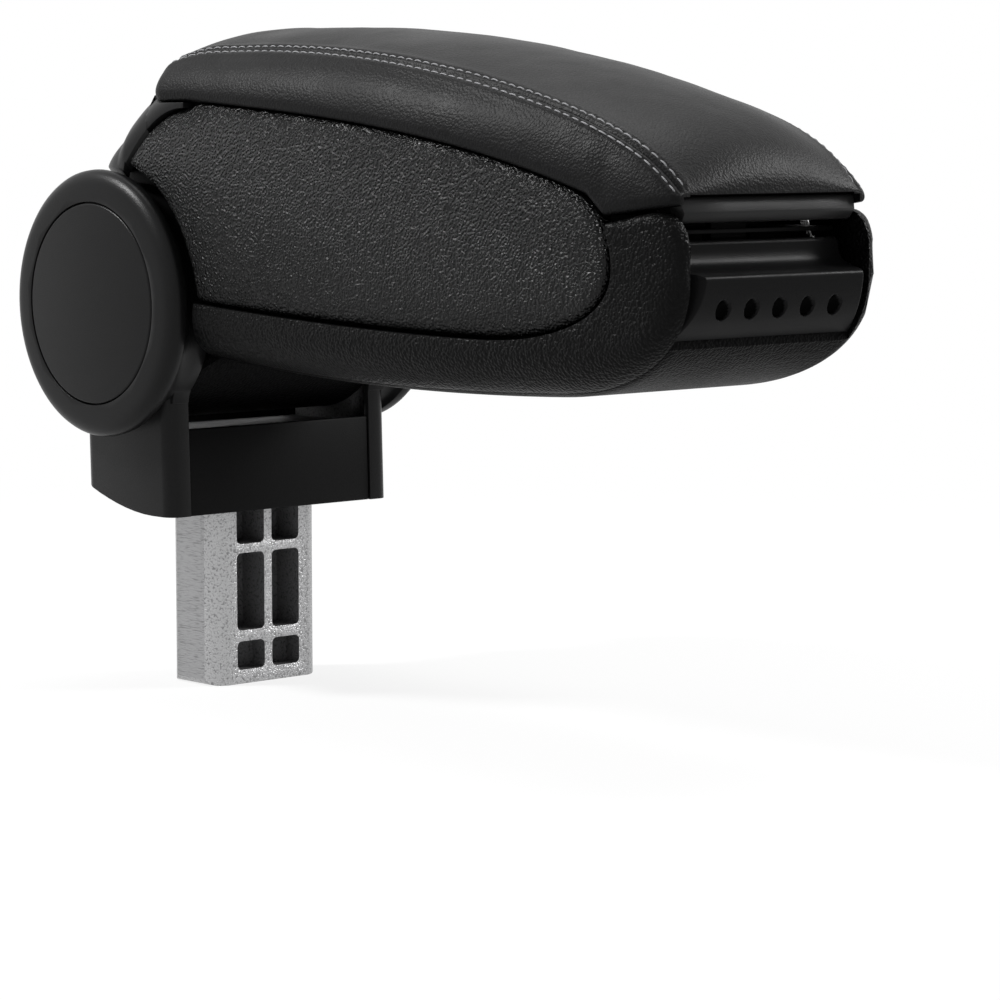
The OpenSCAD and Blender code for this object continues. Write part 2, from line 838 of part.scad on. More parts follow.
module tray_mat() {
    color([0.1, 0.1, 0.1]) at_hinge()
    intersection() {
        from_front(box_rear + box_t + 1, box_front - box_t - 1) box_section(box_t + gap);
        translate([0, -box_half + 12, box_low]) cube([far, 2*box_half - 24, box_t + gap + mat_t]);
    }
}

module axle_bushes() {
    color([0.85, 0.84, 0.8]) at_hinge()
    both_sides() ring_y(axle_d/2 + 2, axle_d/2 + fit, barrel_w/2 - 14, barrel_w/2 - 0.3);
}

module tray_screws() {
    color(steel) at_hinge()
    for (p = screw_spots) translate([p[0], p[1], belly(p[0]) + 0.5]) {
        cylinder(r = 1.75, h = box_low - belly(p[0]) - 0.3);
        difference() {
            cylinder(r = 3.4, h = 1.05);
            translate([0, 0, -0.1]) cylinder(r = 1.5, h = 0.8, $fn = 6);
        }
    }
}

// Lid

module lid_form() {
    loft([for (x = lid_stations) lid_ring(x)]);
}

// Space of the rigid base inside the pad, grown by g
module lid_base_space(g) {
    intersection() {
        from_side(-far/2, far/2) deck_layer(lid_x + 6 - g, lid_end - 2 + g, cut*(g > 0 ? 1 : 0), -lid_t - g);
        plan_prism(3.6 - g);
    }
}

// Front lip strip of the base
module lip_outline() {
    front = lid_end;
    polygon([[front - 12, lip_z + 2.6], [front - 3, lip_z + 2.6], [front - 2.5, lip_z],
             [front + 0.3, lip_z + 0.1], [front, lip_z + 3.6], [front - 1.4, lip_z + 7.2],
             [front - 12, lip_z + 7.2]]);
}

module lid_knuckles() {
    both_sides() from_side(ear_y - 10, ear_y - 0.4) {
        translate([pin_x, pin_z]) circle(knuckle_r);
        polygon([[pin_x - 1, pin_z - knuckle_r + 0.3], [pin_x + 3, pin_z + knuckle_r - 1],
                 [pin_x + 9, lid_rear_z + lid_t], [pin_x + 9, lid_rear_z + 0.2], [pin_x + 4, lid_rear_z + 0.2]]);
    }
}

module lid_base() {
    color(black) at_hinge()
    difference() {
        union() {
            lid_base_space(0);
            from_side(-mouth_half + 1, mouth_half - 1) lip_outline();
            lid_knuckles();
            // Ribs under the plate's front
            for (y = [-25, 25]) translate([lid_end - 20, y, part_z(lid_end) - 0.5]) cube([12, 2, 2]);
        }
        translate([pin_x, 0, pin_z]) rod_y(lid_pin_d/2 + fit, -far/2, far/2);
        // Notches round the arm's ears
        both_sides() translate([0, ear_y - 0.4, 0]) cube([pin_x + knuckle_r + 1, ear_t + 0.8, far]);
    }
}

module lid_pad() {
    color([0.12, 0.12, 0.125]) at_hinge()
    difference() {
        lid_form();
        lid_base_space(gap);
        // Open corner above the hinge
        translate([lid_x - cut, -ear_y - ear_t - 1, lid_rear_z - cut])
            cube([pin_x + 9 - lid_x + gap + cut, 2*(ear_y + ear_t + 1), pin_z + knuckle_r + 0.6 - lid_rear_z + cut]);
        // Lip strip
        translate([lid_end - 13, -mouth_half + 0.6, 0]) cube([40, 2*mouth_half - 1.2, lip_z + 7.5]);
    }
}

module lid_pin() {
    color(steel) at_hinge()
    translate([pin_x, 0, pin_z]) rod_y(lid_pin_d/2, -ear_y - ear_t, ear_y + ear_t);
}

// Hook below the front of the lid
catch_x = lid_end - 18.5 - button_travel;

module lid_catch() {
    color(steel) at_hinge()
    from_side(-8, 8)
        polygon([[catch_x, part_z(catch_x) - 0.05], [catch_x + 2.4, part_z(catch_x) - 0.05],
                 [catch_x + 2.4, lip_z - 6], [catch_x + 3.6, lip_z - 8.4], [catch_x + 3.6, lip_z - 10],
                 [catch_x, lip_z - 10]]);
}

// Latch

pin_y = mouth_half - 15;
button_pin_z = nose_z - 11;
guide_r = 3;
spring_r = guide_r + 1.1;
wall_x = arm_l - 22.5 - button_travel;

// Side view of the button
module button_outline() {
    f = arm_l - 1;
    polygon([[f, nose_z - 2.6], [f - 0.2, nose_z - 7], [f - 0.9, nose_z - 11], [f - 2.9, nose_z - 16],
             [f - 5.3, nose_z - 19.2], [f - 7.6, button_low], [f - 14, button_low], [f - 14, nose_z - 2.4],
             [f - 16.4, nose_z + 1.5], [f - 16.4, nose_z + 9.2], [f - 12.8, nose_z + 9.2],
             [f - 12.4, nose_z + 5], [f - 11.4, nose_z + 2.4], [f - 9, nose_z + 0.6], [f - 6.4, nose_z - 0.1],
             [f - 3.6, nose_z - 0.4], [f - 1.4, nose_z - 1]]);
}

// Hollow behind the button's face
module button_hollow() {
    f = arm_l - 1;
    polygon([[f - 15, button_low + 2.2], [f - 9, button_low + 2.2], [f - 5.8, nose_z - 14],
             [f - 3.4, nose_z - 8], [f - 3, nose_z - 4.4], [f - 8, nose_z - 3], [f - 15, nose_z - 3]]);
}

module latch_button() {
    f = arm_l - 1;
    half = mouth_half - 0.6;
    dimple_r = 4.2;
    dimple_in = sqrt(dimple_r*dimple_r - dimple_d*dimple_d/4);
    color(grey_plastic) at_hinge()
    union() {
        difference() {
            intersection() {
                from_side(-half, half) button_outline();
                translate([0, 0, -far/2]) linear_extrude(far)
                    polygon([[f - 20, -half], [f - 9, -half], [f + 1, -half + 4.4], [f + 1, half - 4.4],
                             [f - 9, half], [f - 20, half]]);
            }
            from_side(-half + 3, half - 3) button_hollow();
            // Shelves with round roots at both ends of the scoop
            both_sides() translate([0, mouth_half - 2.7, nose_z + 0.6]) from_front(f - 20, f)
                difference() {
                    square(15);
                    difference() {
                        square(2.4);
                        translate([2.4, 2.4]) circle(2.4);
                    }
                }
            for (k = [0:dimples - 1])
                translate([f - 0.55 + dimple_in, (k - (dimples - 1)/2)*dimple_pitch, nose_z - 9.6])
                    sphere(dimple_r);
        }
        // Guide pins with collars for their springs
        both_sides() translate([0, pin_y, button_pin_z]) {
            rod_x(guide_r, wall_x - 1.5, f - 4);
            rod_x(spring_r + 0.5, f - 7.5, f - 4);
        }
        // Tongue over the lid's hook
        translate([catch_x + 3.9 + button_travel, -10, lip_z - 6.8]) cube([3, 20, 1.8]);
    }
}

module latch_bezel() {
    roof = lip_z - 4.5;
    color(deep_black) at_hinge()
    difference() {
        union() {
            // Wall behind the button
            translate([wall_x, -mouth_half + 3.5, button_low + 1])
                cube([2, 2*mouth_half - 7, roof - button_low - 1]);
            // Roof with the thin front ledge
            translate([box_front + 0.2, -mouth_half + 0.4, roof])
                cube([arm_l - 15.5 - box_front, 2*mouth_half - 0.8, 1.5]);
        }
        both_sides() translate([0, pin_y, button_pin_z]) rod_x(guide_r + 0.06, wall_x - cut, wall_x + 3);
        // Slot for the lid's hook and the button's tongue
        translate([catch_x - 3, -11, button_low + 14]) cube([12.5, 22, far]);
    }
}

// Sweeps a round wire along a coil round the X axis
module coil(r, wire, x0, x1, turns) {
    steps = 10;
    sides = 5;
    lead = (x1 - x0 - wire)/turns;
    loft([for (k = [0:turns*steps])
        let (a = 360*k/steps, x = x0 + wire/2 + lead*k/steps)
        [for (s = [0:sides - 1])
            let (b = -360*s/sides, rr = r + wire/2*cos(b))
            [x + wire/2*sin(b), rr*cos(a), rr*sin(a)]]]);
}

module button_springs() {
    color(steel) at_hinge()
    both_sides() translate([0, pin_y, button_pin_z])
        coil(spring_r, 0.8, wall_x + 2.05, arm_l - 8.55, 6);
}

post();
side_housing_right();
side_housing_left();
hinge_cap_right();
hinge_cap_left();
front_panel();
rear_panel();
axle();
axle_nuts();
friction_washers();
housing_screws();
lower_shell();
side_frame_right();
side_frame_left();
side_panel_right();
side_panel_left();
rear_cover();
tray();
tray_mat();
axle_bushes();
latch_bezel();
button_springs();
tray_screws();
lid_base();
lid_pad();
lid_pin();
lid_catch();
latch_button();
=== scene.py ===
"""Car centre armrest: a padded arm with a lidded compartment, on a friction hinge and a cast post."""
import math

import bmesh
import bpy
import numpy as np
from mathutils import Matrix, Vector, noise
from mathutils.geometry import delaunay_2d_cdt


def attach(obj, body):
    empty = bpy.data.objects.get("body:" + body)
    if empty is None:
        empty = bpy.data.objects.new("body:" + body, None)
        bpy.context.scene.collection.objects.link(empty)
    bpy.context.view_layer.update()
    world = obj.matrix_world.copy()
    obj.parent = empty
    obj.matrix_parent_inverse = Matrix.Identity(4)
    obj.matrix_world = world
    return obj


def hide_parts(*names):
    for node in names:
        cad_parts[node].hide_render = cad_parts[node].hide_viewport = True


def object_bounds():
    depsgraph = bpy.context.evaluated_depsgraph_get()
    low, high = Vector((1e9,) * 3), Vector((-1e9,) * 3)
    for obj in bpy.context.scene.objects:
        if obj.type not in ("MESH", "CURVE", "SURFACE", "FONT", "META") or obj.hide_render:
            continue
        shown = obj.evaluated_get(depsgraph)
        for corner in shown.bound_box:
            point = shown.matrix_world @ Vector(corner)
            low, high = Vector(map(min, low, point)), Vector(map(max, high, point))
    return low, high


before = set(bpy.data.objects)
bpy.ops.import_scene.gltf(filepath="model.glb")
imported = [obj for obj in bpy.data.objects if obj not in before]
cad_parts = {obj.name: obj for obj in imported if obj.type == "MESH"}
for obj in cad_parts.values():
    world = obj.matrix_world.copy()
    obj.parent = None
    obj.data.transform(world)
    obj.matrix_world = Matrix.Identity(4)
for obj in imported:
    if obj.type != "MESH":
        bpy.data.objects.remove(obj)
cad_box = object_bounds()

# Studio: a pale floor that the post stands on, a pale surround, and soft boxes round the object.
# The floor and the surround show white to the camera and in reflections, and light the part plainly.
scene = bpy.context.scene
scene.view_settings.view_transform = "Standard"
WHITE = (1, 1, 1, 1)
FLOOR_HALF, FLOOR_GAP = 6.0, 0.0001


def added(tree, kind, settings=None, values=None):
    """Adds a node to a tree, with its settings and the values of its inputs."""
    node = tree.nodes.new(kind)
    for name, value in (settings or {}).items():
        setattr(node, name, value)
    for key, value in (values or {}).items():
        node.inputs[key].default_value = value
    return node


def joined(tree, pairs):
    """Links each output to its input in a node tree."""
    for source, target in pairs:
        tree.links.new(source, target)


def pale_for_viewer(tree, plain, white, share):
    """A shader that is mostly white for the camera and for reflections, and plain for the light."""
    path = added(tree, "ShaderNodeLightPath")
    seen = added(tree, "ShaderNodeMath", {"operation": "MAXIMUM"})
    also = added(tree, "ShaderNodeMath", {"operation": "MAXIMUM"})
    amount = added(tree, "ShaderNodeMath", {"operation": "MULTIPLY", "name": "white_share"}, {1: share})
    mix = added(tree, "ShaderNodeMixShader")
    joined(tree, [
        (path.outputs["Is Camera Ray"], seen.inputs[0]), (path.outputs["Is Glossy Ray"], seen.inputs[1]),
        (seen.outputs[0], also.inputs[0]), (path.outputs["Is Transmission Ray"], also.inputs[1]),
        (also.outputs[0], amount.inputs[0]), (amount.outputs[0], mix.inputs[0]),
        (plain.outputs[0], mix.inputs[1]), (white.outputs[0], mix.inputs[2])])
    return mix


world = bpy.data.worlds.new("pale_surround")
scene.world = world
world.use_nodes = True
tree = world.node_tree
tree.nodes.clear()
plain = added(tree, "ShaderNodeBackground", values={"Color": WHITE, "Strength": 0.3})
white = added(tree, "ShaderNodeBackground", values={"Color": WHITE, "Strength": 1.0})
out = added(tree, "ShaderNodeOutputWorld")
mix = pale_for_viewer(tree, plain, white, 1.0)
joined(tree, [(mix.outputs[0], out.inputs["Surface"])])

floor_z = cad_box[0][2] - FLOOR_GAP
floor_mesh = bpy.data.meshes.new("studio_floor")
floor_corners = [(FLOOR_HALF * x, FLOOR_HALF * y, floor_z) for x, y in ((-1, -1), (1, -1), (1, 1), (-1, 1))]
floor_mesh.from_pydata(floor_corners, [], [(0, 1, 2, 3)])
studio_floor = bpy.data.objects.new("studio_floor", floor_mesh)
scene.collection.objects.link(studio_floor)
paper = bpy.data.materials.new("pale_paper")
paper.use_nodes = True
tree = paper.node_tree
tree.nodes.clear()
plain = added(tree, "ShaderNodeBsdfDiffuse", values={"Color": (0.86, 0.86, 0.86, 1)})
white = added(tree, "ShaderNodeEmission", values={"Color": WHITE, "Strength": 1.0})
out = added(tree, "ShaderNodeOutputMaterial")
mix = pale_for_viewer(tree, plain, white, 0.8)
place = added(tree, "ShaderNodeTexCoord")
reach = added(tree, "ShaderNodeVectorMath", {"operation": "LENGTH"})
fade = added(tree, "ShaderNodeMapRange", {"interpolation_type": "SMOOTHSTEP"},
             {"From Min": 0.1, "From Max": 0.8, "To Min": 0.8, "To Max": 1.0})
joined(tree, [(mix.outputs[0], out.inputs["Surface"]), (place.outputs["Object"], reach.inputs[0]),
              (reach.outputs["Value"], fade.inputs["Value"]),
              (fade.outputs["Result"], tree.nodes["white_share"].inputs[1])])
floor_mesh.materials.append(paper)

SOFT_BOXES = [
    # name, place, aims at, width, height, power in watts
    ("top_box", (0.0, 0.25, 1.2), (0.10, 0.0, 0.10), 0.8, 0.6, 8.5),
    ("left_box", (-0.48, -0.68, 0.86), (0.08, 0.0, 0.09), 0.2, 0.2, 13.5),
    ("front_box", (0.62, 0.95, 0.72), (0.2, 0.0, 0.08), 0.3, 0.3, 9.0),
]
for name, place, aim, width, height, power in SOFT_BOXES:
    lamp = bpy.data.lights.new(name, "AREA")
    lamp.shape = "RECTANGLE"
    lamp.size, lamp.size_y = width, height
    lamp.energy = power
    box = bpy.data.objects.new(name, lamp)
    box.location = place
    box.rotation_euler = (Vector(aim) - Vector(place)).to_track_quat("-Z", "Y").to_euler()
    scene.collection.objects.link(box)

# Camera: a long lens from the front right, a little above the arm.
# It stands 1.2 m from the arm, so that the arm's long edges run nearly parallel.
AZIMUTH, ELEVATION = math.radians(47.25), math.radians(6.21)
back = Vector((math.sin(AZIMUTH) * math.cos(ELEVATION), -math.cos(AZIMUTH) * math.cos(ELEVATION),
               math.sin(ELEVATION)))
lens = bpy.data.cameras.new("camera")
lens.lens = 125.24
lens.sensor_width = 36
camera = bpy.data.objects.new("camera", lens)
camera.location = (1.0091, -0.8031, 0.1410)
camera.rotation_euler = back.to_track_quat("Z", "Y").to_euler()
scene.collection.objects.link(camera)
scene.camera = camera

# Grained side frames: the left and right sides of the arm, moulded in polypropylene with a pebbled grain.
# Each is a band below and in front of the grained panel, from the hinge to the crisp edge of the mouth.
# Sizes are in millimetres, and x and z start at the hinge axis, which lies at HINGE in metres.
HINGE = np.array((-0.007, 0.0, 0.076))
ARM_L, BELLY_H, HALF_REAR, NOSE_TAPER, NOSE_ROUND = 277.0, 23.7, 57.5, 17.0, 8.0
LID_X, LID_REAR_Z, LID_NOSE_Z = 26.0, 72.0, 43.0
BARREL_R, SWEEP_R, HOOD_X = 42.5, 51.2, -12.0
LIP_Z, NOSE_Z, BUTTON_LOW, MOUTH = 34.6, 19.0, -4.2, 41.0
STEP_X, TAPER_X, NOSE_X, CHIN_X, DEEPEST_X, BOW_X, BROW_X = 239.0, 60.0, 250.0, 215.0, 165.0, 192.0, 255.0
PANEL_END, PANEL_RISE, PANEL_NOSE_Z, PANEL_REAR_R = 250.5, 19.2, NOSE_Z + 1, SWEEP_R + 0.4
GROOVE_X, GROOVE_END, CHIN_H, SEAM_IN = 13.4, 46.0, 35.9, 9.0


def unit(a):
    """A value held between 0 and 1."""
    return np.clip(a, 0.0, 1.0)


def mixed(a, b, t):
    """The value a share t of the way from a to b."""
    return a + (b - a) * t


def round_drop(t, p):
    """0 at 0, rising to 1 at 1 as the quarter of a superellipse does."""
    return 1 - (1 - unit(t) ** p) ** (1 / p)


def half_w(x):
    """Half the width of the arm."""
    x = np.asarray(x, float)
    return (HALF_REAR - NOSE_TAPER / 2 * (np.maximum(0, x - TAPER_X) / (NOSE_X - TAPER_X)) ** 2
            - NOSE_ROUND * round_drop((x - NOSE_X) / (ARM_L + 1.5 - NOSE_X), 4)
            - 7 * round_drop((4 - x) / (4.5 - HOOD_X), 2))


def belly(x):
    """Height of the underside."""
    x = np.asarray(x, float)
    return (-BELLY_H + 0.00043 * (x - DEEPEST_X) ** 2
            + CHIN_H * round_drop((x - CHIN_X) / (ARM_L + 0.3 - CHIN_X), 2.4))


def part_z(x):
    """Height of the parting line between arm and lid."""
    x = np.asarray(x, float)
    t = np.maximum(0, x - 50) / (STEP_X - 50)
    lid_front = LID_NOSE_Z - 0.5
    long_part = LID_REAR_Z - (LID_REAR_Z - lid_front) * (0.457 * t + 0.543 * t ** 3)
    step = mixed(lid_front, lid_front - 6.5, unit((x - STEP_X) / 7)) + 0.125 * np.maximum(0, x - STEP_X - 7)
    return np.where(x <= STEP_X, long_part, step)


def hood(x):
    """Height of the smooth hood behind the lid."""
    low = math.sqrt(BARREL_R ** 2 - HOOD_X ** 2)
    ahead = unit((np.asarray(x, float) - HOOD_X) / (LID_X - HOOD_X))
    return low + (LID_REAR_Z + 4.2 - low) * (1 - (1 - ahead) ** 1.4)


def brow(x):
    """Top of the mouldings."""
    x = np.asarray(x, float)
    drop = round_drop((x - BROW_X) / (ARM_L + 0.3 - BROW_X), 3)
    ahead = part_z(x) - 0.4 - (part_z(x) - NOSE_Z - 0.9) * drop
    notch = 2.2 * unit((x - STEP_X) / 6) * unit(1 - (x - 247) / 20)
    return np.where(x < LID_X - 0.3, hood(x), ahead - notch)


def band_y(x):
    """Half the distance between the side frames along the underside."""
    return np.maximum(MOUTH, half_w(x) - SEAM_IN)


def corner_r(x):
    """Radius of the lower corners."""
    wanted = 16 - 9 * unit((np.asarray(x, float) - CHIN_X) / (ARM_L - CHIN_X)) ** 1.5
    return np.maximum(0.8, np.minimum(wanted, (brow(x) - belly(x)) * 0.45))


def side_point(x, s):
    """Point of the arm's skin: s is 0 at the brow, 1 where the lower corner starts and 2 at its foot."""
    x, s = np.broadcast_arrays(np.asarray(x, float), np.asarray(s, float))
    r, low, top = corner_r(x), belly(x), brow(x)
    turn = np.clip(s - 1, 0, 1) * math.pi / 2
    y = half_w(x) - r + r * np.cos(turn)
    z = np.where(s <= 1, top + (low + r - top) * s, low + r - r * np.sin(turn))
    return np.stack([x, y, z], -1)


def side_share(x, z):
    """The s of side_point for a height on the skin."""
    r, low, top = corner_r(x), belly(x), brow(x)
    straight = (top - z) / (top - low - r)
    return np.where(z >= low + r, straight, 1 + np.arcsin(unit((low + r - z) / r)) / (math.pi / 2))


def seam_share(x):
    """The s of side_point on the seam between the side frame and the lower shell."""
    r = corner_r(x)
    return 1 + np.arccos(unit((band_y(x) - half_w(x) + r) / r)) / (math.pi / 2)


def skin_normal(x, s):
    """Outward normal of the skin."""
    along = side_point(x + 0.05, s) - side_point(x - 0.05, s)
    down = side_point(x, s + 0.002) - side_point(x, s - 0.002)
    n = np.cross(down, along)
    n /= np.linalg.norm(n, axis=-1, keepdims=True) + 1e-12
    return np.where(n[..., 1:2] < -0.2, -n, n)


def groove_z(x):
    """Height of the line between the grained panel and the smooth hood."""
    start = math.sqrt((SWEEP_R + 1.5) ** 2 - GROOVE_X ** 2)
    ahead = unit((np.asarray(x, float) - GROOVE_X) / (GROOVE_END - GROOVE_X))
    return start + (LID_REAR_Z - 2 - start) * (1 - (1 - ahead) ** 2)


def piece(name, points, faces, bevel=0.0, steps=2, limit=35, mirror=False):
    """Makes a closed mesh from points in millimetres from the hinge axis, with its edges rounded."""
    points = np.asarray(points, float).reshape(-1, 3)
    if mirror:
        points = points * (1, -1, 1)
    mesh = bpy.data.meshes.new(name)
    mesh.from_pydata((points / 1000 + HINGE).tolist(), [], faces)
    bm = bmesh.new()
    bm.from_mesh(mesh)
    bmesh.ops.remove_doubles(bm, verts=bm.verts, dist=2e-6)
    bmesh.ops.dissolve_degenerate(bm, edges=bm.edges, dist=1e-6)
    bmesh.ops.recalc_face_normals(bm, faces=bm.faces)
    bm.to_mesh(mesh)
    bm.free()
    made = bpy.data.objects.new(name, mesh)
    scene.collection.objects.link(made)
    return softened(made, bevel, steps, limit) if bevel else made


def softened(made, bevel, steps=2, limit=35):
    """Rounds an object's edges with a bevel of that width in millimetres, and shades it smooth."""
    rounding = made.modifiers.new("rounding", "BEVEL")
    rounding.width = bevel / 1000
    rounding.segments = steps
    rounding.limit_method = "ANGLE"
    rounding.angle_limit = math.radians(limit)
    rounding.use_clamp_overlap = True
    rounding.miter_outer = "MITER_ARC"
    flatten(made)
    return shaded(made)


def flatten(made):
    """Applies an object's modifiers to its mesh."""
    graph = bpy.context.evaluated_depsgraph_get()
    mesh = bpy.data.meshes.new_from_object(made.evaluated_get(graph))
    made.modifiers.clear()
    made.data = mesh
    return made


def shaded(made, angle=40):
    """Shades an object smooth, but for edges that turn by more than an angle in degrees."""
    made.data.shade_smooth()
    made.data.set_sharp_from_angle(angle=math.radians(angle))
    return made


def sheet_faces(rows, columns, start=0, closed=False):
    """Quads of a grid of points whose rows follow each other."""
    faces = []
    for i in range(rows - 1):
        for j in range(columns if closed else columns - 1):
            k = (j + 1) % columns
            faces.append((start + i * columns + j, start + i * columns + k,
                          start + (i + 1) * columns + k, start + (i + 1) * columns + j))
    return faces


def swept(profiles):
    """Points and faces of a solid whose closed profiles follow each other, capped at both ends."""
    profiles = np.asarray(profiles, float)
    rows, columns = profiles.shape[:2]
    faces = sheet_faces(rows, columns, closed=True)
    faces.append(tuple(range(columns)))
    faces.append(tuple((rows - 1) * columns + j for j in reversed(range(columns))))
    return profiles.reshape(-1, 3), faces


def panel_front(t, g):
    """Front edge of the grained panel, from its foremost point upwards."""
    return PANEL_END - g - 10.5 * t ** 2, mixed(PANEL_NOSE_Z, LID_NOSE_Z - 0.5, t)


def panel_low(g, steps, corner_steps):
    """Lower edge of the grained panel, from the hinge to its foremost point."""
    low, end_x = PANEL_RISE - BELLY_H, PANEL_END - g
    rear = math.asin((2 + g) / PANEL_REAR_R)
    xs = np.linspace(PANEL_REAR_R * math.cos(rear), BOW_X, steps, endpoint=False)
    t = (BOW_X - xs) / (BOW_X - PANEL_REAR_R)
    straight = np.stack([xs, low + g + 6.3 * t ** 1.6], -1)
    c = np.linspace(math.pi / 2, 0, corner_steps)
    curved = np.stack([BOW_X + (end_x - BOW_X) * np.cos(c) ** 0.87,
                       PANEL_NOSE_Z - (PANEL_NOSE_Z - low - g) * np.sin(c) ** 0.87], -1)
    return np.concatenate([straight, curved])


def front_top(g):
    """Share of the panel's front edge that lies below the brow."""
    low, high = 0.3, 1.0
    for _ in range(40):
        t = (low + high) / 2
        x, z = panel_front(t, g)
        low, high = (t, high) if z < brow(x) else (low, t)
    return low


# Points along the panel's low edge, round its bow and up its front, up the mouth's edge, and across the band
LONG, BOW, RISE, LIFT, ACROSS = 46, 40, 22, 4, 14
BEND_X, FRAME_WALL, LIP_WIDE, LIP_DEEP, LIP_AIM = 197.0, 2.6, 5.3, 11.0, (254.0, 14.0)
MOUTH_ROUNDING = (1.0, 1.9, 2.6, 3.0)
t = np.linspace(0, front_top(0.0), RISE + 1)[1:]
inner = np.concatenate([panel_low(0.0, LONG, BOW), np.stack(panel_front(t, 0.0), -1)])
rear_x = SWEEP_R
for _ in range(20):
    low = side_point(rear_x, seam_share(rear_x))
    rear_x = math.sqrt(SWEEP_R ** 2 - float(low[2]) ** 2)
seam_x = np.concatenate([np.linspace(rear_x, BEND_X, LONG, endpoint=False),
                         BEND_X + (ARM_L - BEND_X) * (1 - (1 - np.linspace(0, 1, BOW)) ** 1.35)])
seam_s = seam_share(seam_x)
lift = np.linspace(0, 1, LIFT + 1)[1:]
run = np.linspace(0, 1, RISE - LIFT + 1)[1:]
brow_x = ARM_L - (ARM_L - inner[-1, 0] - 1.2) * run ** 1.7
outer_x = np.concatenate([seam_x, np.full(LIFT, ARM_L), brow_x])
outer_s = np.concatenate([seam_s, seam_s[-1] * (1 - lift), np.zeros(RISE - LIFT)])
inner_s = side_share(inner[:, 0], inner[:, 1])


def edge_rounding(i, edge):
    """Direction and radius of the rounding at a frame's outer edge, and where its lip ends across."""
    past = i - LONG - BOW
    if past < 0:
        return np.array((-1.0, 0.0)), 0.0, edge[1]
    if past < LIFT:
        return np.array((-1.0, 0.0)), MOUTH_ROUNDING[past], MOUTH
    slope = float(brow(edge[0] + 0.02) - brow(edge[0] - 0.02)) / 0.04
    wide = float(half_w(edge[0]))
    lip_y = max(MOUTH, wide - LIP_WIDE)
    radius = min(mixed(0.7, 3.0, float(unit((edge[0] - 246) / 8))), (wide - lip_y) * 0.8)
    return np.array((slope, -1.0)) / math.hypot(slope, 1.0), radius, lip_y


share = np.linspace(0, 1, ACROSS)
rear_line = mixed(inner[0, 0], outer_x[0], share)
rear_z = side_point(rear_line, mixed(inner_s[0], outer_s[0], share))[:, 2]
rear_shift = np.sqrt(SWEEP_R ** 2 - rear_z ** 2) - rear_line
profiles = []
for i in range(len(inner)):
    edge = side_point(outer_x[i], outer_s[i])
    way, r, lip_y = edge_rounding(i, edge)
    if r > 0:
        # The skin stops where the rounding of the edge starts
        stop_x, stop_z = edge[0] + way[0] * r, edge[2] + way[1] * r
        xs = mixed(inner[i, 0], stop_x, share)
        ss = mixed(inner_s[i], float(side_share(stop_x, stop_z)), share)
    else:
        xs = mixed(inner[i, 0], edge[0], share)
        ss = mixed(inner_s[i], outer_s[i], share)
        if i < LONG:
            xs = xs + rear_shift * unit(1 - (xs - rear_line) / 16) * (share > 0)
    skin = side_point(xs, ss)
    rounding = []
    for a in np.linspace(0, math.pi / 2, 6)[1:]:
        px, pz = edge[0] + way[0] * r * (1 - math.sin(a)), edge[2] + way[1] * r * (1 - math.sin(a))
        py = float(side_point(px, side_share(px, pz))[1]) if r > 0 else edge[1]
        rounding.append((px, py - r * (1 - math.cos(a)), pz))
    toward = np.array((LIP_AIM[0] - edge[0], 0.0, LIP_AIM[1] - edge[2]))
    toward *= LIP_DEEP / max(np.linalg.norm(toward), 1e-6)
    if i >= LONG + BOW + LIFT:
        inward = toward * mixed(0.4, 1.0, float(unit((edge[0] - 246) / 10)))
    else:
        inward = mixed(np.array((0, 0, 3.0)), toward, float(unit((edge[0] - 240) / 16)))
    lip = np.array((edge[0], lip_y, edge[2]))
    foot = skin[0] - skin_normal(xs[:1], ss[:1])[0] * FRAME_WALL
    profiles.append(np.concatenate([[foot], skin, rounding, [lip, lip + inward]]))


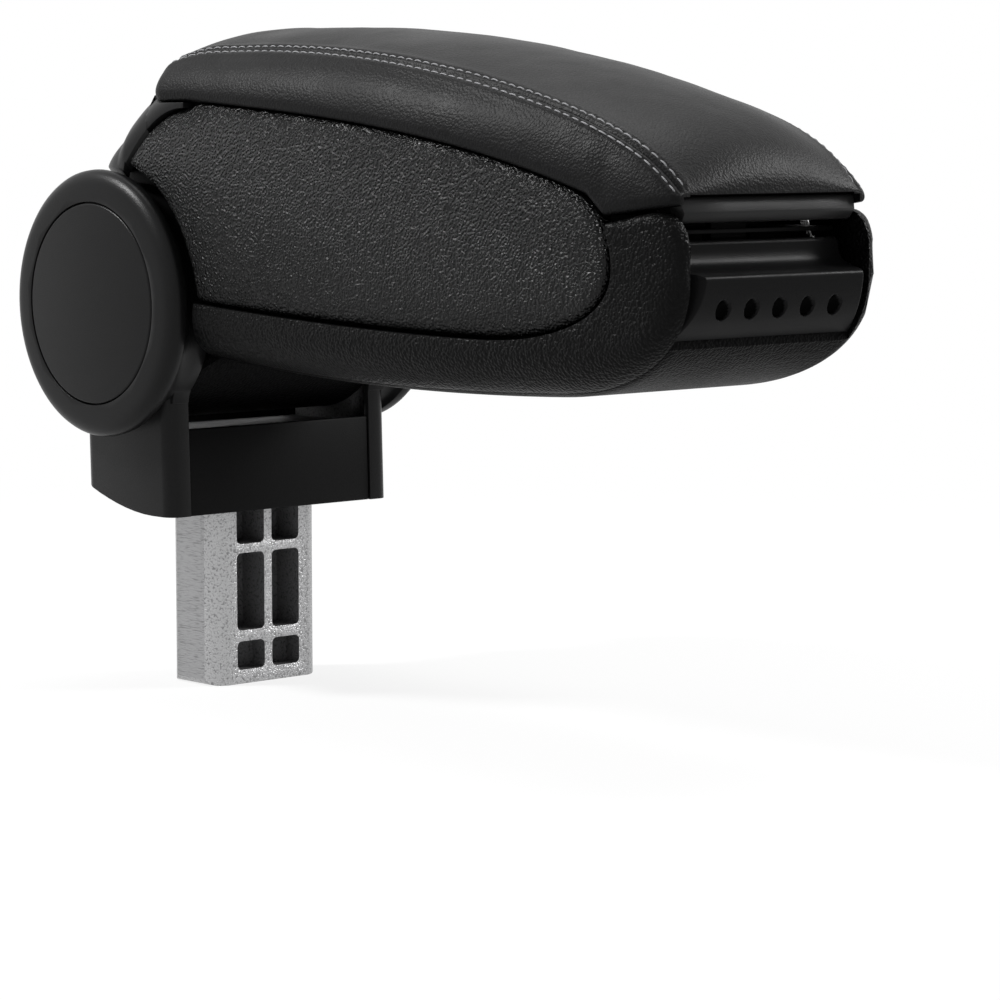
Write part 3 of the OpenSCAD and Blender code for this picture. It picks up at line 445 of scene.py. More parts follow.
def pebble_grain():
    """Node group: pebbles with a finer roughness on them, the valleys between them, and broad patches."""
    group = bpy.data.node_groups.new("pebble_grain", "ShaderNodeTree")
    group.interface.new_socket("Vector", in_out="INPUT", socket_type="NodeSocketVector")
    for label, value in (("Grain Size", 0.0011), ("Unevenness", 0.5)):
        item = group.interface.new_socket(label, in_out="INPUT", socket_type="NodeSocketFloat")
        item.default_value = value
    for label in ("Height", "Valley", "Patches"):
        group.interface.new_socket(label, in_out="OUTPUT", socket_type="NodeSocketFloat")
    source, result = added(group, "NodeGroupInput"), added(group, "NodeGroupOutput")
    scale = added(group, "ShaderNodeMath", {"operation": "DIVIDE"}, {0: 1.0})
    scaled = added(group, "ShaderNodeVectorMath", {"operation": "SCALE"})
    warp = added(group, "ShaderNodeTexNoise", values={"Scale": 0.8, "Detail": 2.0})
    centred = added(group, "ShaderNodeVectorMath", {"operation": "SUBTRACT"}, {1: (0.5, 0.5, 0.5)})
    stretch = added(group, "ShaderNodeVectorMath", {"operation": "SCALE"})
    bent = added(group, "ShaderNodeVectorMath", {"operation": "ADD"})
    cells = added(group, "ShaderNodeTexVoronoi", {"feature": "SMOOTH_F1"},
                  {"Scale": 1.0, "Smoothness": 0.35, "Randomness": 1.0})
    fine = added(group, "ShaderNodeTexNoise", values={"Scale": 2.3, "Detail": 3.0})
    pebble = added(group, "ShaderNodeMapRange",
                   values={"From Min": 0.15, "From Max": 0.75, "To Min": 1.0, "To Max": 0.0})
    height = added(group, "ShaderNodeMath", {"operation": "MULTIPLY_ADD"}, {1: 0.35})
    valley = added(group, "ShaderNodeMapRange", values={"From Min": 0.55, "From Max": 0.85})
    patches = added(group, "ShaderNodeTexNoise", values={"Scale": 26.0, "Detail": 3.0})
    joined(group, [
        (source.outputs["Grain Size"], scale.inputs[1]), (source.outputs["Vector"], scaled.inputs[0]),
        (scale.outputs[0], scaled.inputs["Scale"]), (scaled.outputs[0], warp.inputs["Vector"]),
        (warp.outputs["Color"], centred.inputs[0]), (centred.outputs[0], stretch.inputs[0]),
        (source.outputs["Unevenness"], stretch.inputs["Scale"]), (scaled.outputs[0], bent.inputs[0]),
        (stretch.outputs[0], bent.inputs[1]), (bent.outputs[0], cells.inputs["Vector"]),
        (bent.outputs[0], fine.inputs["Vector"]), (cells.outputs["Distance"], pebble.inputs["Value"]),
        (fine.outputs["Fac"], height.inputs[0]), (pebble.outputs["Result"], height.inputs[2]),
        (cells.outputs["Distance"], valley.inputs["Value"]),
        (source.outputs["Vector"], patches.inputs["Vector"]), (height.outputs[0], result.inputs["Height"]),
        (valley.outputs["Result"], result.inputs["Valley"]),
        (patches.outputs["Fac"], result.inputs["Patches"])])
    return group


PEBBLES = pebble_grain()


def grained(name, colour, rough, size, depth, uneven=0.5, valley_shade=0.1, specular=0.5, metallic=0.0,
            stretch=None):
    """A moulded, cast or embossed finish: grain in the bump, painted shade in the valleys, slightly uneven
    gloss.
    """
    finish = bpy.data.materials.new(name)
    finish.use_nodes = True
    tree = finish.node_tree
    tree.nodes.clear()
    place = added(tree, "ShaderNodeTexCoord")
    group = added(tree, "ShaderNodeGroup", {"node_tree": PEBBLES}, {"Grain Size": size, "Unevenness": uneven})
    bump = added(tree, "ShaderNodeBump", values={"Strength": 1.0, "Distance": depth})
    # The valleys between the pebbles take a darker colour: painted shade, since the bump casts none.
    dark = [c * (1 - valley_shade) for c in colour]
    tint = added(tree, "ShaderNodeMix", {"data_type": "RGBA"}, {"A": (*colour, 1), "B": (*dark, 1)})
    gloss = added(tree, "ShaderNodeMapRange", values={"From Min": 0.3, "From Max": 0.7,
                                                      "To Min": rough - 0.05, "To Max": rough + 0.05})
    shader = added(tree, "ShaderNodeBsdfPrincipled",
                   values={"Specular IOR Level": specular, "Metallic": metallic})
    out = added(tree, "ShaderNodeOutputMaterial")
    origin = place.outputs["Object"]
    if stretch:
        squeezed = added(tree, "ShaderNodeMapping", values={"Scale": stretch})
        joined(tree, [(origin, squeezed.inputs["Vector"])])
        origin = squeezed.outputs["Vector"]
    joined(tree, [
        (origin, group.inputs["Vector"]), (group.outputs["Height"], bump.inputs["Height"]),
        (group.outputs["Valley"], tint.inputs["Factor"]),
        (tint.outputs["Result"], shader.inputs["Base Color"]),
        (group.outputs["Patches"], gloss.inputs["Value"]),
        (gloss.outputs["Result"], shader.inputs["Roughness"]),
        (bump.outputs["Normal"], shader.inputs["Normal"]), (shader.outputs[0], out.inputs["Surface"])])
    return finish


def painted(made, *finishes):
    """Gives an object these finishes and no other; all its faces have the first."""
    made.data.materials.clear()
    for finish in finishes:
        made.data.materials.append(finish)


frame_grain = grained("pebbled_polypropylene", (0.0028, 0.0028, 0.0029), 0.33, 0.0011, 0.00026, 0.6, 0.5,
                      specular=0.06)
points, faces = swept(profiles)
for side, mirror in (("left", False), ("right", True)):
    made = piece(f"grained_frame_{side}", points, faces, bevel=0.7, steps=3, limit=38, mirror=mirror)
    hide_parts(f"side_frame_{side}")
    painted(made, frame_grain)
    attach(made, "arm")

# Grained side panels: thin crowned inserts pressed into the side frames, with a coarser, glossier grain.
# Each runs from the hinge to a round front end, and its edges roll in beside a narrow dark gap.
PANEL_GAP, PANEL_PROUD, ROLL_WIDE, ROLL_DEEP = 0.9, 0.3, 3.2, 1.8
PANEL_CROWN, PANEL_WALL, PANEL_BOW, TIP_BACK = 1.5, 5.0, 2.2, 1.4
TOP_START, TOP_END = 52.0, 219.0
low_edge = panel_low(PANEL_GAP, 56, 40)
turn = np.linspace(math.asin((2 + PANEL_GAP) / PANEL_REAR_R), math.acos((GROOVE_X + 0.5) / PANEL_REAR_R), 40)
rear_edge = PANEL_REAR_R * np.stack([np.cos(turn), np.sin(turn)], -1)
groove_x = np.linspace(GROOVE_X, GROOVE_END, 30)
groove_line = np.stack([groove_x + 0.5, groove_z(groove_x) - 0.75], -1)
blend_x = np.linspace(GROOVE_END + PANEL_GAP + 2, TOP_START, 5)
blend_z = mixed(groove_z(GROOVE_END) - PANEL_GAP, brow(TOP_START), np.linspace(0.25, 1, 5))
top_x = np.linspace(TOP_START, TOP_END, 70)[1:]
turn_from = np.array((TOP_END, float(brow(TOP_END))))
turn_to = np.array((PANEL_END - PANEL_GAP, PANEL_NOSE_Z))
slope = float(brow(TOP_END) - brow(TOP_END - 1))
pull_from, pull_to = turn_from + 20 * np.array((1.0, slope)), turn_to + (0.3, 17.0)
t = np.linspace(0, 1, 40)[1:, None]
round_end = ((1 - t) ** 3 * turn_from + 3 * t * (1 - t) ** 2 * pull_from
             + 3 * t ** 2 * (1 - t) * pull_to + t ** 3 * turn_to)
outline = np.concatenate([rear_edge, groove_line[1:], np.stack([blend_x, blend_z], -1),
                          np.stack([top_x, brow(top_x)], -1), round_end, low_edge[::-1][1:-1]])
outline[:, 0] -= TIP_BACK * unit((outline[:, 0] - 210) / 40) ** 2


def edge_distance(points, outline):
    """Distance from each point to a closed outline."""
    start = outline
    run = np.roll(outline, -1, 0) - outline
    t = np.clip(((points[:, None] - start) * run).sum(-1) / (run ** 2).sum(-1), 0, 1)
    return np.linalg.norm(points[:, None] - start - run * t[..., None], axis=-1).min(1)


def inside_of(points, outline):
    """Whether each point lies inside a closed outline."""
    a, b = outline, np.roll(outline, -1, 0)
    x, z = points[:, :1], points[:, 1:]
    crosses = (a[:, 1] > z) != (b[:, 1] > z)
    at = a[:, 0] + (b[:, 0] - a[:, 0]) * (z - a[:, 1]) / np.where(a[:, 1] == b[:, 1], 1, b[:, 1] - a[:, 1])
    return (crosses & (x < at)).sum(1) % 2 == 1


def filled(outline, rings, step):
    """Points and triangles over a closed outline: rings of points along its edge, and a grid inside."""
    run = np.roll(outline, -1, 0) - np.roll(outline, 1, 0)
    inward = np.stack([run[:, 1], -run[:, 0]], -1) / np.linalg.norm(run, axis=1, keepdims=True)
    if not inside_of(outline[:1] + inward[:1] * 0.2, outline)[0]:
        inward = -inward
    inner = [outline]
    for ring in rings:
        spots = outline + inward * ring
        inner.append(spots[(edge_distance(spots, outline) > ring * 0.97) & inside_of(spots, outline)])
    low, high = outline.min(0), outline.max(0)
    across, up = np.arange(low[0], high[0], step), np.arange(low[1], high[1], step)
    grid = np.stack(np.meshgrid(across, up), -1).reshape(-1, 2)
    grid = grid[inside_of(grid, outline)]
    inner.append(grid[edge_distance(grid, outline) > rings[-1] + step * 0.5])
    spots = np.concatenate(inner)
    found = delaunay_2d_cdt([Vector(v) for v in spots], [], [list(range(len(outline)))], 1, 1e-5)
    place = {k: i for i, given in enumerate(found[3]) for k in given}
    corners = np.array([tuple(v) for v in found[0]])
    return corners, [tuple(f) for f in found[2]], [place[k] for k in range(len(outline))]


flat_points, triangles, border = filled(outline, (0.12, 0.35, 0.7, 1.15, 1.7, 2.4, 3.2), 4.5)
px, pz = flat_points.T
apart = edge_distance(flat_points, outline)
roll = ROLL_DEEP * (1 - np.sqrt(1 - (1 - np.minimum(apart, ROLL_WIDE) / ROLL_WIDE) ** 2))
crown = PANEL_CROWN * (1 - np.exp(-apart / 14))
down = unit((brow(px) - pz) / (brow(px) + BELLY_H - PANEL_RISE))
bow = PANEL_BOW * (2 * down - 1) ** 2
out_y = side_point(px, side_share(px, pz))[:, 1] + PANEL_PROUD - roll + crown - bow
front_side = np.stack([px, out_y, pz], -1)
back_side = np.stack([px, out_y + roll - PANEL_WALL, pz], -1)
start = len(front_side)
points = np.concatenate([front_side, back_side])
faces = triangles + [tuple(start + k for k in reversed(face)) for face in triangles]
faces += [(a, b, start + b, start + a) for a, b in zip(border, border[1:] + border[:1])]
panel_grain = grained("pebbled_panel", (0.0028, 0.0028, 0.0029), 0.19, 0.001, 0.0004, 0.5, 0.5,
                      specular=0.155)
for side, mirror in (("left", False), ("right", True)):
    made = shaded(piece(f"grained_panel_{side}", points, faces, mirror=mirror), 50)
    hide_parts(f"side_panel_{side}")
    painted(made, panel_grain)
    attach(made, "arm")

# Lower shell: the underside strip between the side frames and the round barrel over the hinge core.
# One grained moulding, held by screws; the strip flows into the barrel through a round fillet.
BARREL_HALF, BARREL_WALL, FILLET_R, SHELL_WALL, SEAM_GAP = 41.7, 3.0, 12.0, 2.6, 0.25
HEAD_N, STRIP_N = 11, 110
half_strip = HALF_REAR - SEAM_IN - SEAM_GAP
fillet_z = float(belly(45)) - FILLET_R
fillet_x = math.sqrt((BARREL_R + FILLET_R) ** 2 - fillet_z ** 2)
shell_cut = BUTTON_LOW - 0.7


def shell_yz(x, share):
    """Place across and height of the underside, at a share of the way from the middle to the seam."""
    y = share * (band_y(x) - SEAM_GAP)
    r, w = corner_r(x), half_w(x)
    return y, belly(x) + r - np.sqrt(np.maximum(0, r ** 2 - np.maximum(0, y - w + r) ** 2))


columns = []
for y in (*np.linspace(0, BARREL_HALF, 22), BARREL_HALF + 0.02, 43.5, 45.2, 46.8, half_strip):
    share = y / half_strip
    low, high = 250.0, ARM_L
    for _ in range(40):
        x = (low + high) / 2
        low, high = (x, high) if shell_yz(x, share)[1] < shell_cut else (low, x)
    end = low
    if y <= BARREL_HALF:
        turn = np.linspace(math.atan2(-fillet_z, -fillet_x), math.pi / 2, HEAD_N + 1)[:-1]
        head = [(fillet_x + FILLET_R * math.cos(a), y, fillet_z + FILLET_R * math.sin(a)) for a in turn]
        start = fillet_x
    else:
        start = SWEEP_R
        for _ in range(10):
            start = math.sqrt(SWEEP_R ** 2 - float(shell_yz(start, share)[1]) ** 2)
        head = [(start, *(float(v) for v in shell_yz(start, share)))] * HEAD_N
    t = np.linspace(0, 1, STRIP_N)
    xs = start + (end - start) * (1 - (1 - t) ** 1.25)
    ys, zs = shell_yz(xs, share)
    columns.append(np.concatenate([head, np.stack([xs, ys, zs], -1)]))
half = np.stack(columns, 1)
full = np.concatenate([half[:, :0:-1] * (1, -1, 1), half], 1)
rows, width = full.shape[:2]
inside = full + (0, 0, SHELL_WALL)
points = np.concatenate([full.reshape(-1, 3), inside.reshape(-1, 3)])
faces = sheet_faces(rows, width) + sheet_faces(rows, width, start=rows * width)
border = (list(range(width)) + [i * width + width - 1 for i in range(1, rows)]
          + [(rows - 1) * width + j for j in range(width - 2, -1, -1)]
          + [i * width for i in range(rows - 2, 0, -1)])
faces += [(a, b, b + rows * width, a + rows * width) for a, b in zip(border, border[1:] + border[:1])]
strip = piece("underside_strip", points, faces, bevel=0.3, limit=50)


def lathe(profile, segments):
    """Points and faces of a closed ring turned round the hinge axis: profile is radius and place across."""
    turn = np.linspace(0, 2 * math.pi, segments, endpoint=False)
    radius, across = np.asarray(profile, float).T
    points = np.stack([np.outer(np.cos(turn), radius), np.tile(across, (segments, 1)),
                       np.outer(np.sin(turn), radius)], -1)
    faces = []
    n = len(profile)
    for i in range(segments):
        for j in range(n):
            a, b = (i + 1) % segments, (j + 1) % n
            faces.append((i * n + j, i * n + b, a * n + b, a * n + j))
    return points.reshape(-1, 3), faces


across = np.linspace(-BARREL_HALF, BARREL_HALF, 15)
ring = [(BARREL_R, y) for y in across] + [(BARREL_R - BARREL_WALL, y) for y in across[::-1]]
barrel = piece("barrel", *lathe(ring, 180), bevel=0.5, steps=3, limit=40)


def merged(name, parts):
    """One object from several, with their meshes side by side."""
    bm = bmesh.new()
    for part in parts:
        bm.from_mesh(part.data)
    mesh = bpy.data.meshes.new(name)
    bm.to_mesh(mesh)
    bm.free()
    made = bpy.data.objects.new(name, mesh)
    scene.collection.objects.link(made)
    for part in parts:
        bpy.data.objects.remove(part)
    return shaded(made)


lower_moulding = merged("lower_moulding", [strip, barrel])
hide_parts("lower_shell")
shell_grain = grained("pebbled_underside", (0.0032, 0.0032, 0.0033), 0.42, 0.0011, 0.00026, 0.6, 0.5,
                      specular=0.018)
painted(lower_moulding, shell_grain)
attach(lower_moulding, "arm")

# Rear hood: the smooth satin cover behind the lid, from the barrel up to the lid's rear edge.
# One moulding with two inner end walls; at the sides it ends on the groove line of the grained panels.
SHOULDER, HOOD_SWEEP, HOOD_WALL, END_IN, END_OUT = 14.0, 48.8, 3.0, 39.9, 41.6
SIDE_N, BEND_N, TOP_N = 5, 9, 24
hood_end = LID_X - 0.36
hood_xs = HOOD_X + (LID_X - HOOD_X) * np.linspace(0, 1, 52) ** 1.5
rings = []
for x in np.append(hood_xs[hood_xs < hood_end], hood_end):
    top = float(hood(x))
    low = math.sqrt(max(0.0, HOOD_SWEEP ** 2 - x ** 2)) if x < GROOVE_X - 1 else float(groove_z(x)) - 0.3
    if top < low + 1.2:
        ring = [(x, BARREL_HALF, top)] * (SIDE_N + BEND_N)
        flat_half = BARREL_HALF
    else:
        w = float(half_w(x)) - 0.3 - 5.0 * float(unit((12 - x) / 18)) ** 1.3
        q = min(SHOULDER, top - low - 0.2)
        ring = [(x, w, z) for z in np.linspace(low, top - q, SIDE_N)]
        ring += [(x, w - q + q * math.cos(a), top - q + q * math.sin(a))
                 for a in np.linspace(0, math.pi / 2, BEND_N + 1)[1:]]
        flat_half = w - q
    rings.append(ring + [(x, y, top) for y in np.linspace(flat_half, 0, TOP_N)])
rings = np.array(rings)
jump = next(i for i, ring in enumerate(rings) if ring[0, 1] > BARREL_HALF + 1)
narrow = rings[jump].copy()
narrow[:, 1] = np.minimum(narrow[:, 1], BARREL_HALF)
narrow[:SIDE_N + BEND_N, 2] = narrow[SIDE_N + BEND_N, 2]
rings = np.concatenate([rings[:jump], narrow[None], rings[jump:]])
outer = np.concatenate([rings, rings[:, -2::-1] * (1, -1, 1)], 1)
inner_skin = outer * (1.0, 0.955, 1.0) - (0, 0, HOOD_WALL)
points, faces = swept(np.concatenate([outer, inner_skin[:, ::-1]], 1))
hood_skin = piece("hood_skin", points, faces, bevel=0.4, limit=45)
wall_x = np.linspace(HOOD_X, LID_X - 2, 30)
wall = np.concatenate([np.stack([wall_x, hood(wall_x) - 1.0], -1),
                       np.stack([wall_x, np.sqrt(BARREL_R ** 2 - wall_x ** 2) - 1.0], -1)[::-1]])
end_walls = [piece(f"hood_wall_{k}", *swept([[(x, side * y, z) for x, z in wall] for y in (END_IN, END_OUT)]))
             for k, side in enumerate((1, -1))]


def hood_y(x, z):
    """Half the width of the hood at a height above the groove."""
    top = float(hood(x))
    q = min(SHOULDER, top - float(groove_z(x)) - 0.5)
    return float(half_w(x)) - 0.4 - q + math.sqrt(q ** 2 - max(0, z - top + q) ** 2)


ear_rings = []
for x in np.linspace(LID_X - 3, GROOVE_END + 0.5, 16):
    low = float(groove_z(x)) - 0.3
    high = LID_REAR_Z - 0.4 + 3.6 * float(round_drop((LID_X + 5 - max(x, LID_X)) / 5.2, 2))
    heights = np.linspace(low, high, 7)
    inner_y = float(half_w(x)) - 6
    ear_rings.append([(x, hood_y(x, z), z) for z in heights] + [(x, inner_y, high), (x, inner_y, low)])
ears = [piece(f"hood_ear_{k}", *swept(np.array(ear_rings) * (1, side, 1)), bevel=0.2)
        for k, side in enumerate((1, -1))]
hood_cover = merged("rear_hood", [hood_skin, *end_walls, *ears])
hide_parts("rear_cover")
satin = grained("satin_plastic", (0.0064, 0.0064, 0.0066), 0.33, 0.00045, 0.00002, specular=0.108)
dark_satin_and_painted_shade = grained("dark_satin_plastic_and_painted_shade", (0.002, 0.002, 0.0021), 0.5, 0.00045, 0.00002, specular=0.08)
painted(hood_cover, satin, dark_satin_and_painted_shade)
# The inner end walls, seen through the gap beside the discs, take the dark finish as painted shade.
for face in hood_cover.data.polygons:
    if abs(face.center.y) < (END_OUT + 0.2) / 1000 and abs(face.normal.y) > 0.9:
        face.material_index = 1
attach(hood_cover, "arm")

# Lid pad: foam under stitched grained leatherette, crowned in the middle, in three panels.
# Two seams run its whole length, each with a row of light thread on both sides.
LID_END, CROWN = 273.5, 8.0
SEAM_TOP = LID_REAR_Z + 18.0
HEM_DEEP, HEM_WIDE = 2.6, 4.2
STITCH_PITCH, STITCH_OUT = 4.2, 2.1
RINGS, SIDE_POINTS, TOP_POINTS = 260, 34, 46


def seam_z(x):
    """Height of the seam between the pad's top and its side."""
    t = np.maximum(0, x - 70) / (LID_END - 70)
    fall = (SEAM_TOP - LID_NOSE_Z) * (0.766 * t ** 2 + 0.234 * t ** 15)
    return SEAM_TOP - fall - 4 * (np.maximum(0, 50 - x) / 22) ** 2


def seam_y(x):
    """Place of the seam across the pad."""
    nearer = 2.6 * (np.maximum(0, x - STEP_X) / (LID_END - STEP_X)) ** 2
    return MOUTH + 2.3 + np.maximum(0, 70 - x) ** 2 / 400 - nearer


def lengths(path):
    """How far each point of a path lies along it."""
    return np.concatenate([[0], np.cumsum(np.linalg.norm(np.diff(path, axis=0), axis=1))])


def read_off(path, at, wanted):
    """The values of a path, whose points lie at increasing places, at the wanted places."""
    return np.stack([np.interp(wanted, at, column) for column in path.T], -1)


def pad_section(x):
    """Half a cross-section of the pad's skin, from its lower edge up to the middle, and the seam's index."""
    x = float(x)
    rear = float(round_drop((LID_X + 5 - x) / 5.2, 2))
    low = float(part_z(x)) + 4 * rear
    w = (float(half_w(x)) - 7 * float(round_drop((LID_X + 8 - x) / 8.2, 2))
         - 2.6 * float(round_drop((x - NOSE_X) / (LID_END + 0.5 - NOSE_X), 2)))
    ys = min(float(seam_y(x)), w - 1)
    zs = float(seam_z(x)) - 8 * rear
    rise = CROWN * (1 - float(round_drop((x - LID_END + 15.5) / 15.6, 3))) + 2 * max(0, 50 - x) / 22
    c = np.radians(np.linspace(0, 60, 80))
    side = np.stack([np.full(80, x), mixed(w, ys, (1 - np.cos(c)) / 0.5),
                     mixed(low, zs, np.sin(c) / math.sin(math.radians(60)))], -1)
    run = lengths(side)
    u = np.linspace(0, 1, SIDE_POINTS)
    wanted = run[-1] * (u - 0.88 * np.sin(2 * math.pi * u) / (2 * math.pi))
    side = read_off(side, run, wanted)
    side[:, 1] -= HEM_DEEP * (1 - np.sqrt(1 - (1 - np.minimum(wanted, HEM_WIDE) / HEM_WIDE) ** 2))
    s = 1 - np.linspace(0, 1, TOP_POINTS) ** 1.45
    top = np.stack([np.full(TOP_POINTS, x), s * ys, zs + rise * (1 - s * s)], -1)
    return np.concatenate([side, top[1:]]), SIDE_POINTS - 1


def seam_depth(d, x):
    """How far the skin sinks at a distance d across the seam: the seam's valley and two sewn rows."""
    pull = 0.5 + 0.5 * np.cos(2 * math.pi * x / STITCH_PITCH)
    return (1.35 * np.exp(-(d / 0.8) ** 2) - 0.34 * np.exp(-((np.abs(d) - 3.6) / 1.6) ** 2)
            + (0.16 + 0.2 * pull) * np.exp(-((np.abs(d) - STITCH_OUT) / 0.55) ** 2))


def crease(p):
    """How far a point of the skin stands out through the leatherette's soft folds."""
    broad = noise.noise(Vector((p[0] / 34, p[1] / 26, p[2] / 26)))
    small = noise.noise(Vector((p[0] / 9, p[1] / 9 + 7, p[2] / 9)))
    return 0.35 * broad + 0.12 * small


pad_t = np.linspace(0, 1, RINGS)
rings = []
for x in LID_X + (LID_END - LID_X) * (pad_t - 0.055 * np.sin(2 * math.pi * pad_t)):
    skin, at = pad_section(x)
    tangent = np.gradient(skin, axis=0)
    normal = np.stack([np.zeros(len(skin)), tangent[:, 2], -tangent[:, 1]], -1)
    normal /= np.linalg.norm(normal, axis=1, keepdims=True) + 1e-9
    if normal[at, 2] < 0:
        normal = -normal
    run = lengths(skin)
    fade = float(unit((LID_END - x) / 1.5)) * float(unit((x - LID_X) / 1.5))
    folds = np.array([crease(p) for p in skin]) * unit(run / 6)
    skin = skin + normal * ((folds - seam_depth(run - run[at], x)) * fade)[:, None]
    w_in = skin[0, 1] - 3.3
    foot = np.array([(x, w_in, skin[0, 2] + 3.3), (x, w_in, skin[0, 2])])
    half_ring = np.concatenate([foot, skin])
    rings.append(np.concatenate([half_ring, half_ring[-2::-1] * (1, -1, 1)]))
pad = piece("lid_cushion", *swept(rings))


def carved(made, boxes):
    """Cuts boxes, given by their corners in millimetres from the hinge axis, out of an object."""
    for box in boxes:
        low, high = np.array(box) / 1000 + HINGE
        mesh = bpy.data.meshes.new("cutter")
        corners = [(x, y, z) for x in (low[0], high[0]) for y in (low[1], high[1]) for z in (low[2], high[2])]
        sides = [(0, 1, 3, 2), (4, 6, 7, 5), (0, 4, 5, 1), (2, 3, 7, 6), (0, 2, 6, 4), (1, 5, 7, 3)]
        mesh.from_pydata(corners, [], sides)
        cutter = bpy.data.objects.new("cutter", mesh)
        scene.collection.objects.link(cutter)
        cut = made.modifiers.new("cut", "BOOLEAN")
        cut.operation = "DIFFERENCE"
        cut.solver = "EXACT"
        cut.object = cutter
        flatten(made)
        bpy.data.objects.remove(cutter)
    return made


core_room = ((20, -28, 60), (39.3, 28, 84.1))
mouth_room = ((LID_END - 13, -MOUTH + 0.6, 10), (300, MOUTH - 0.6, LIP_Z + 7.5))
carved(pad, [core_room, mouth_room])
shaded(pad, 50)
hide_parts("lid_pad")
painted(pad, grained("grained_leatherette", (0.0045, 0.0045, 0.0047), 0.44, 0.0009, 0.00008, 1.0, 0.35,
                     specular=0.085))
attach(pad, "lid")

# Thread: bonded polyester lockstitch beside both seams, each stitch pulled down at its two needle holes.
# A node tree lays one arched stitch on every point of the four rows.
STITCH = {"Stitch Length": 0.0034, "Thread Radius": 0.00027, "Arch": 0.0006, "Sink": 0.0004}


def stitch_rows():
    """Places, directions along the row and outward directions of all stitches, in metres."""
    places, alongs, outs = [], [], []
    for mirror in (1, -1):
        for row in (-STITCH_OUT, STITCH_OUT):
            line = []
            for x in np.arange(LID_X + 3.5, LID_END - 1.2, 0.5):
                skin, at = pad_section(x)
                run = lengths(skin)
                d = run - run[at]
                p = read_off(skin, d, row)
                across = read_off(skin, d, row + 0.3) - p
                line.append(np.concatenate([p, across / np.linalg.norm(across)]))
            line = np.array(line)
            run = lengths(line[:, :3])
            marks = np.arange(STITCH_PITCH / 2, run[-1], STITCH_PITCH)
            at = read_off(line, run, marks)
            along = read_off(line[:, :3], run, marks + 0.5) - read_off(line[:, :3], run, marks - 0.5)
            along /= np.linalg.norm(along, axis=1, keepdims=True)
            out = np.cross(along, at[:, 3:])
            out /= np.linalg.norm(out, axis=1, keepdims=True)
            out = np.where(out[:, 2:3] < 0, -out, out)
            flip = np.array((1, mirror, 1))
            places.append((at[:, :3] + out * 0.02) * flip / 1000 + HINGE)
            alongs.append(along * flip)
            outs.append(out * flip)
    return np.concatenate(places), np.concatenate(alongs), np.concatenate(outs)


def stitch_tree(material):
    """Node tree: one arched stitch on every vertex, turned by its along and out attributes."""
    tree = bpy.data.node_groups.new("stitches", "GeometryNodeTree")
    tree.is_modifier = True
    sockets = {}
    tree.interface.new_socket("Geometry", in_out="INPUT", socket_type="NodeSocketGeometry")
    for label, value in STITCH.items():
        item = tree.interface.new_socket(label, in_out="INPUT", socket_type="NodeSocketFloat")
        item.default_value = value
        sockets[label] = item.identifier
    tree.interface.new_socket("Geometry", in_out="OUTPUT", socket_type="NodeSocketGeometry")
    source, result = added(tree, "NodeGroupInput"), added(tree, "NodeGroupOutput")
    half, minus_half, down = (added(tree, "ShaderNodeMath", {"operation": "MULTIPLY"}, {1: factor})
                              for factor in (0.5, -0.5, -1.0))
    start, end, top = (added(tree, "ShaderNodeCombineXYZ") for _ in range(3))
    arc = added(tree, "GeometryNodeCurveQuadraticBezier", values={"Resolution": 6})
    ring = added(tree, "GeometryNodeCurvePrimitiveCircle", values={"Resolution": 7})
    tube = added(tree, "GeometryNodeCurveToMesh", values={"Fill Caps": True})
    put = added(tree, "GeometryNodeInstanceOnPoints")
    real = added(tree, "GeometryNodeRealizeInstances")
    smooth = added(tree, "GeometryNodeSetShadeSmooth")
    paint = added(tree, "GeometryNodeSetMaterial", values={"Material": material})
    turn = added(tree, "FunctionNodeAxesToRotation", {"primary_axis": "Z", "secondary_axis": "X"})
    along, out = (added(tree, "GeometryNodeInputNamedAttribute", {"data_type": "FLOAT_VECTOR"},
                        {"Name": label}) for label in ("along", "out"))
    joined(tree, [
        (source.outputs["Stitch Length"], half.inputs[0]),
        (source.outputs["Stitch Length"], minus_half.inputs[0]), (source.outputs["Sink"], down.inputs[0]),
        (minus_half.outputs[0], start.inputs["X"]), (down.outputs[0], start.inputs["Z"]),
        (half.outputs[0], end.inputs["X"]), (down.outputs[0], end.inputs["Z"]),
        (source.outputs["Arch"], top.inputs["Z"]),
        (start.outputs[0], arc.inputs["Start"]), (top.outputs[0], arc.inputs["Middle"]),
        (end.outputs[0], arc.inputs["End"]), (source.outputs["Thread Radius"], ring.inputs["Radius"]),
        (arc.outputs["Curve"], tube.inputs["Curve"]), (ring.outputs["Curve"], tube.inputs["Profile Curve"]),
        (tube.outputs["Mesh"], put.inputs["Instance"]), (source.outputs["Geometry"], put.inputs["Points"]),
        (out.outputs["Attribute"], turn.inputs["Primary Axis"]),
        (along.outputs["Attribute"], turn.inputs["Secondary Axis"]),
        (turn.outputs["Rotation"], put.inputs["Rotation"]),
        (put.outputs["Instances"], real.inputs["Geometry"]),
        (real.outputs["Geometry"], smooth.inputs["Geometry"]),
        (smooth.outputs["Geometry"], paint.inputs["Geometry"]),
        (paint.outputs["Geometry"], result.inputs[0])])
    return tree, sockets


places, alongs, outs = stitch_rows()
mesh = bpy.data.meshes.new("seam_stitches")
mesh.from_pydata(places.tolist(), [], [])
for label, values in (("along", alongs), ("out", outs)):
    attribute = mesh.attributes.new(label, "FLOAT_VECTOR", "POINT")
    attribute.data.foreach_set("vector", values.astype(np.float32).ravel())
stitches = bpy.data.objects.new("seam_stitches", mesh)
scene.collection.objects.link(stitches)
thread = grained("light_grey_thread", (0.26, 0.26, 0.27), 0.7, 0.0003, 0.00003, 0.6, 0.3)
sewing = stitches.modifiers.new("stitches", "NODES")
sewing.node_group, sockets = stitch_tree(thread)
for label, value in STITCH.items():
    sewing[sockets[label]] = value
flatten(stitches)
painted(stitches, thread)
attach(stitches, "lid")

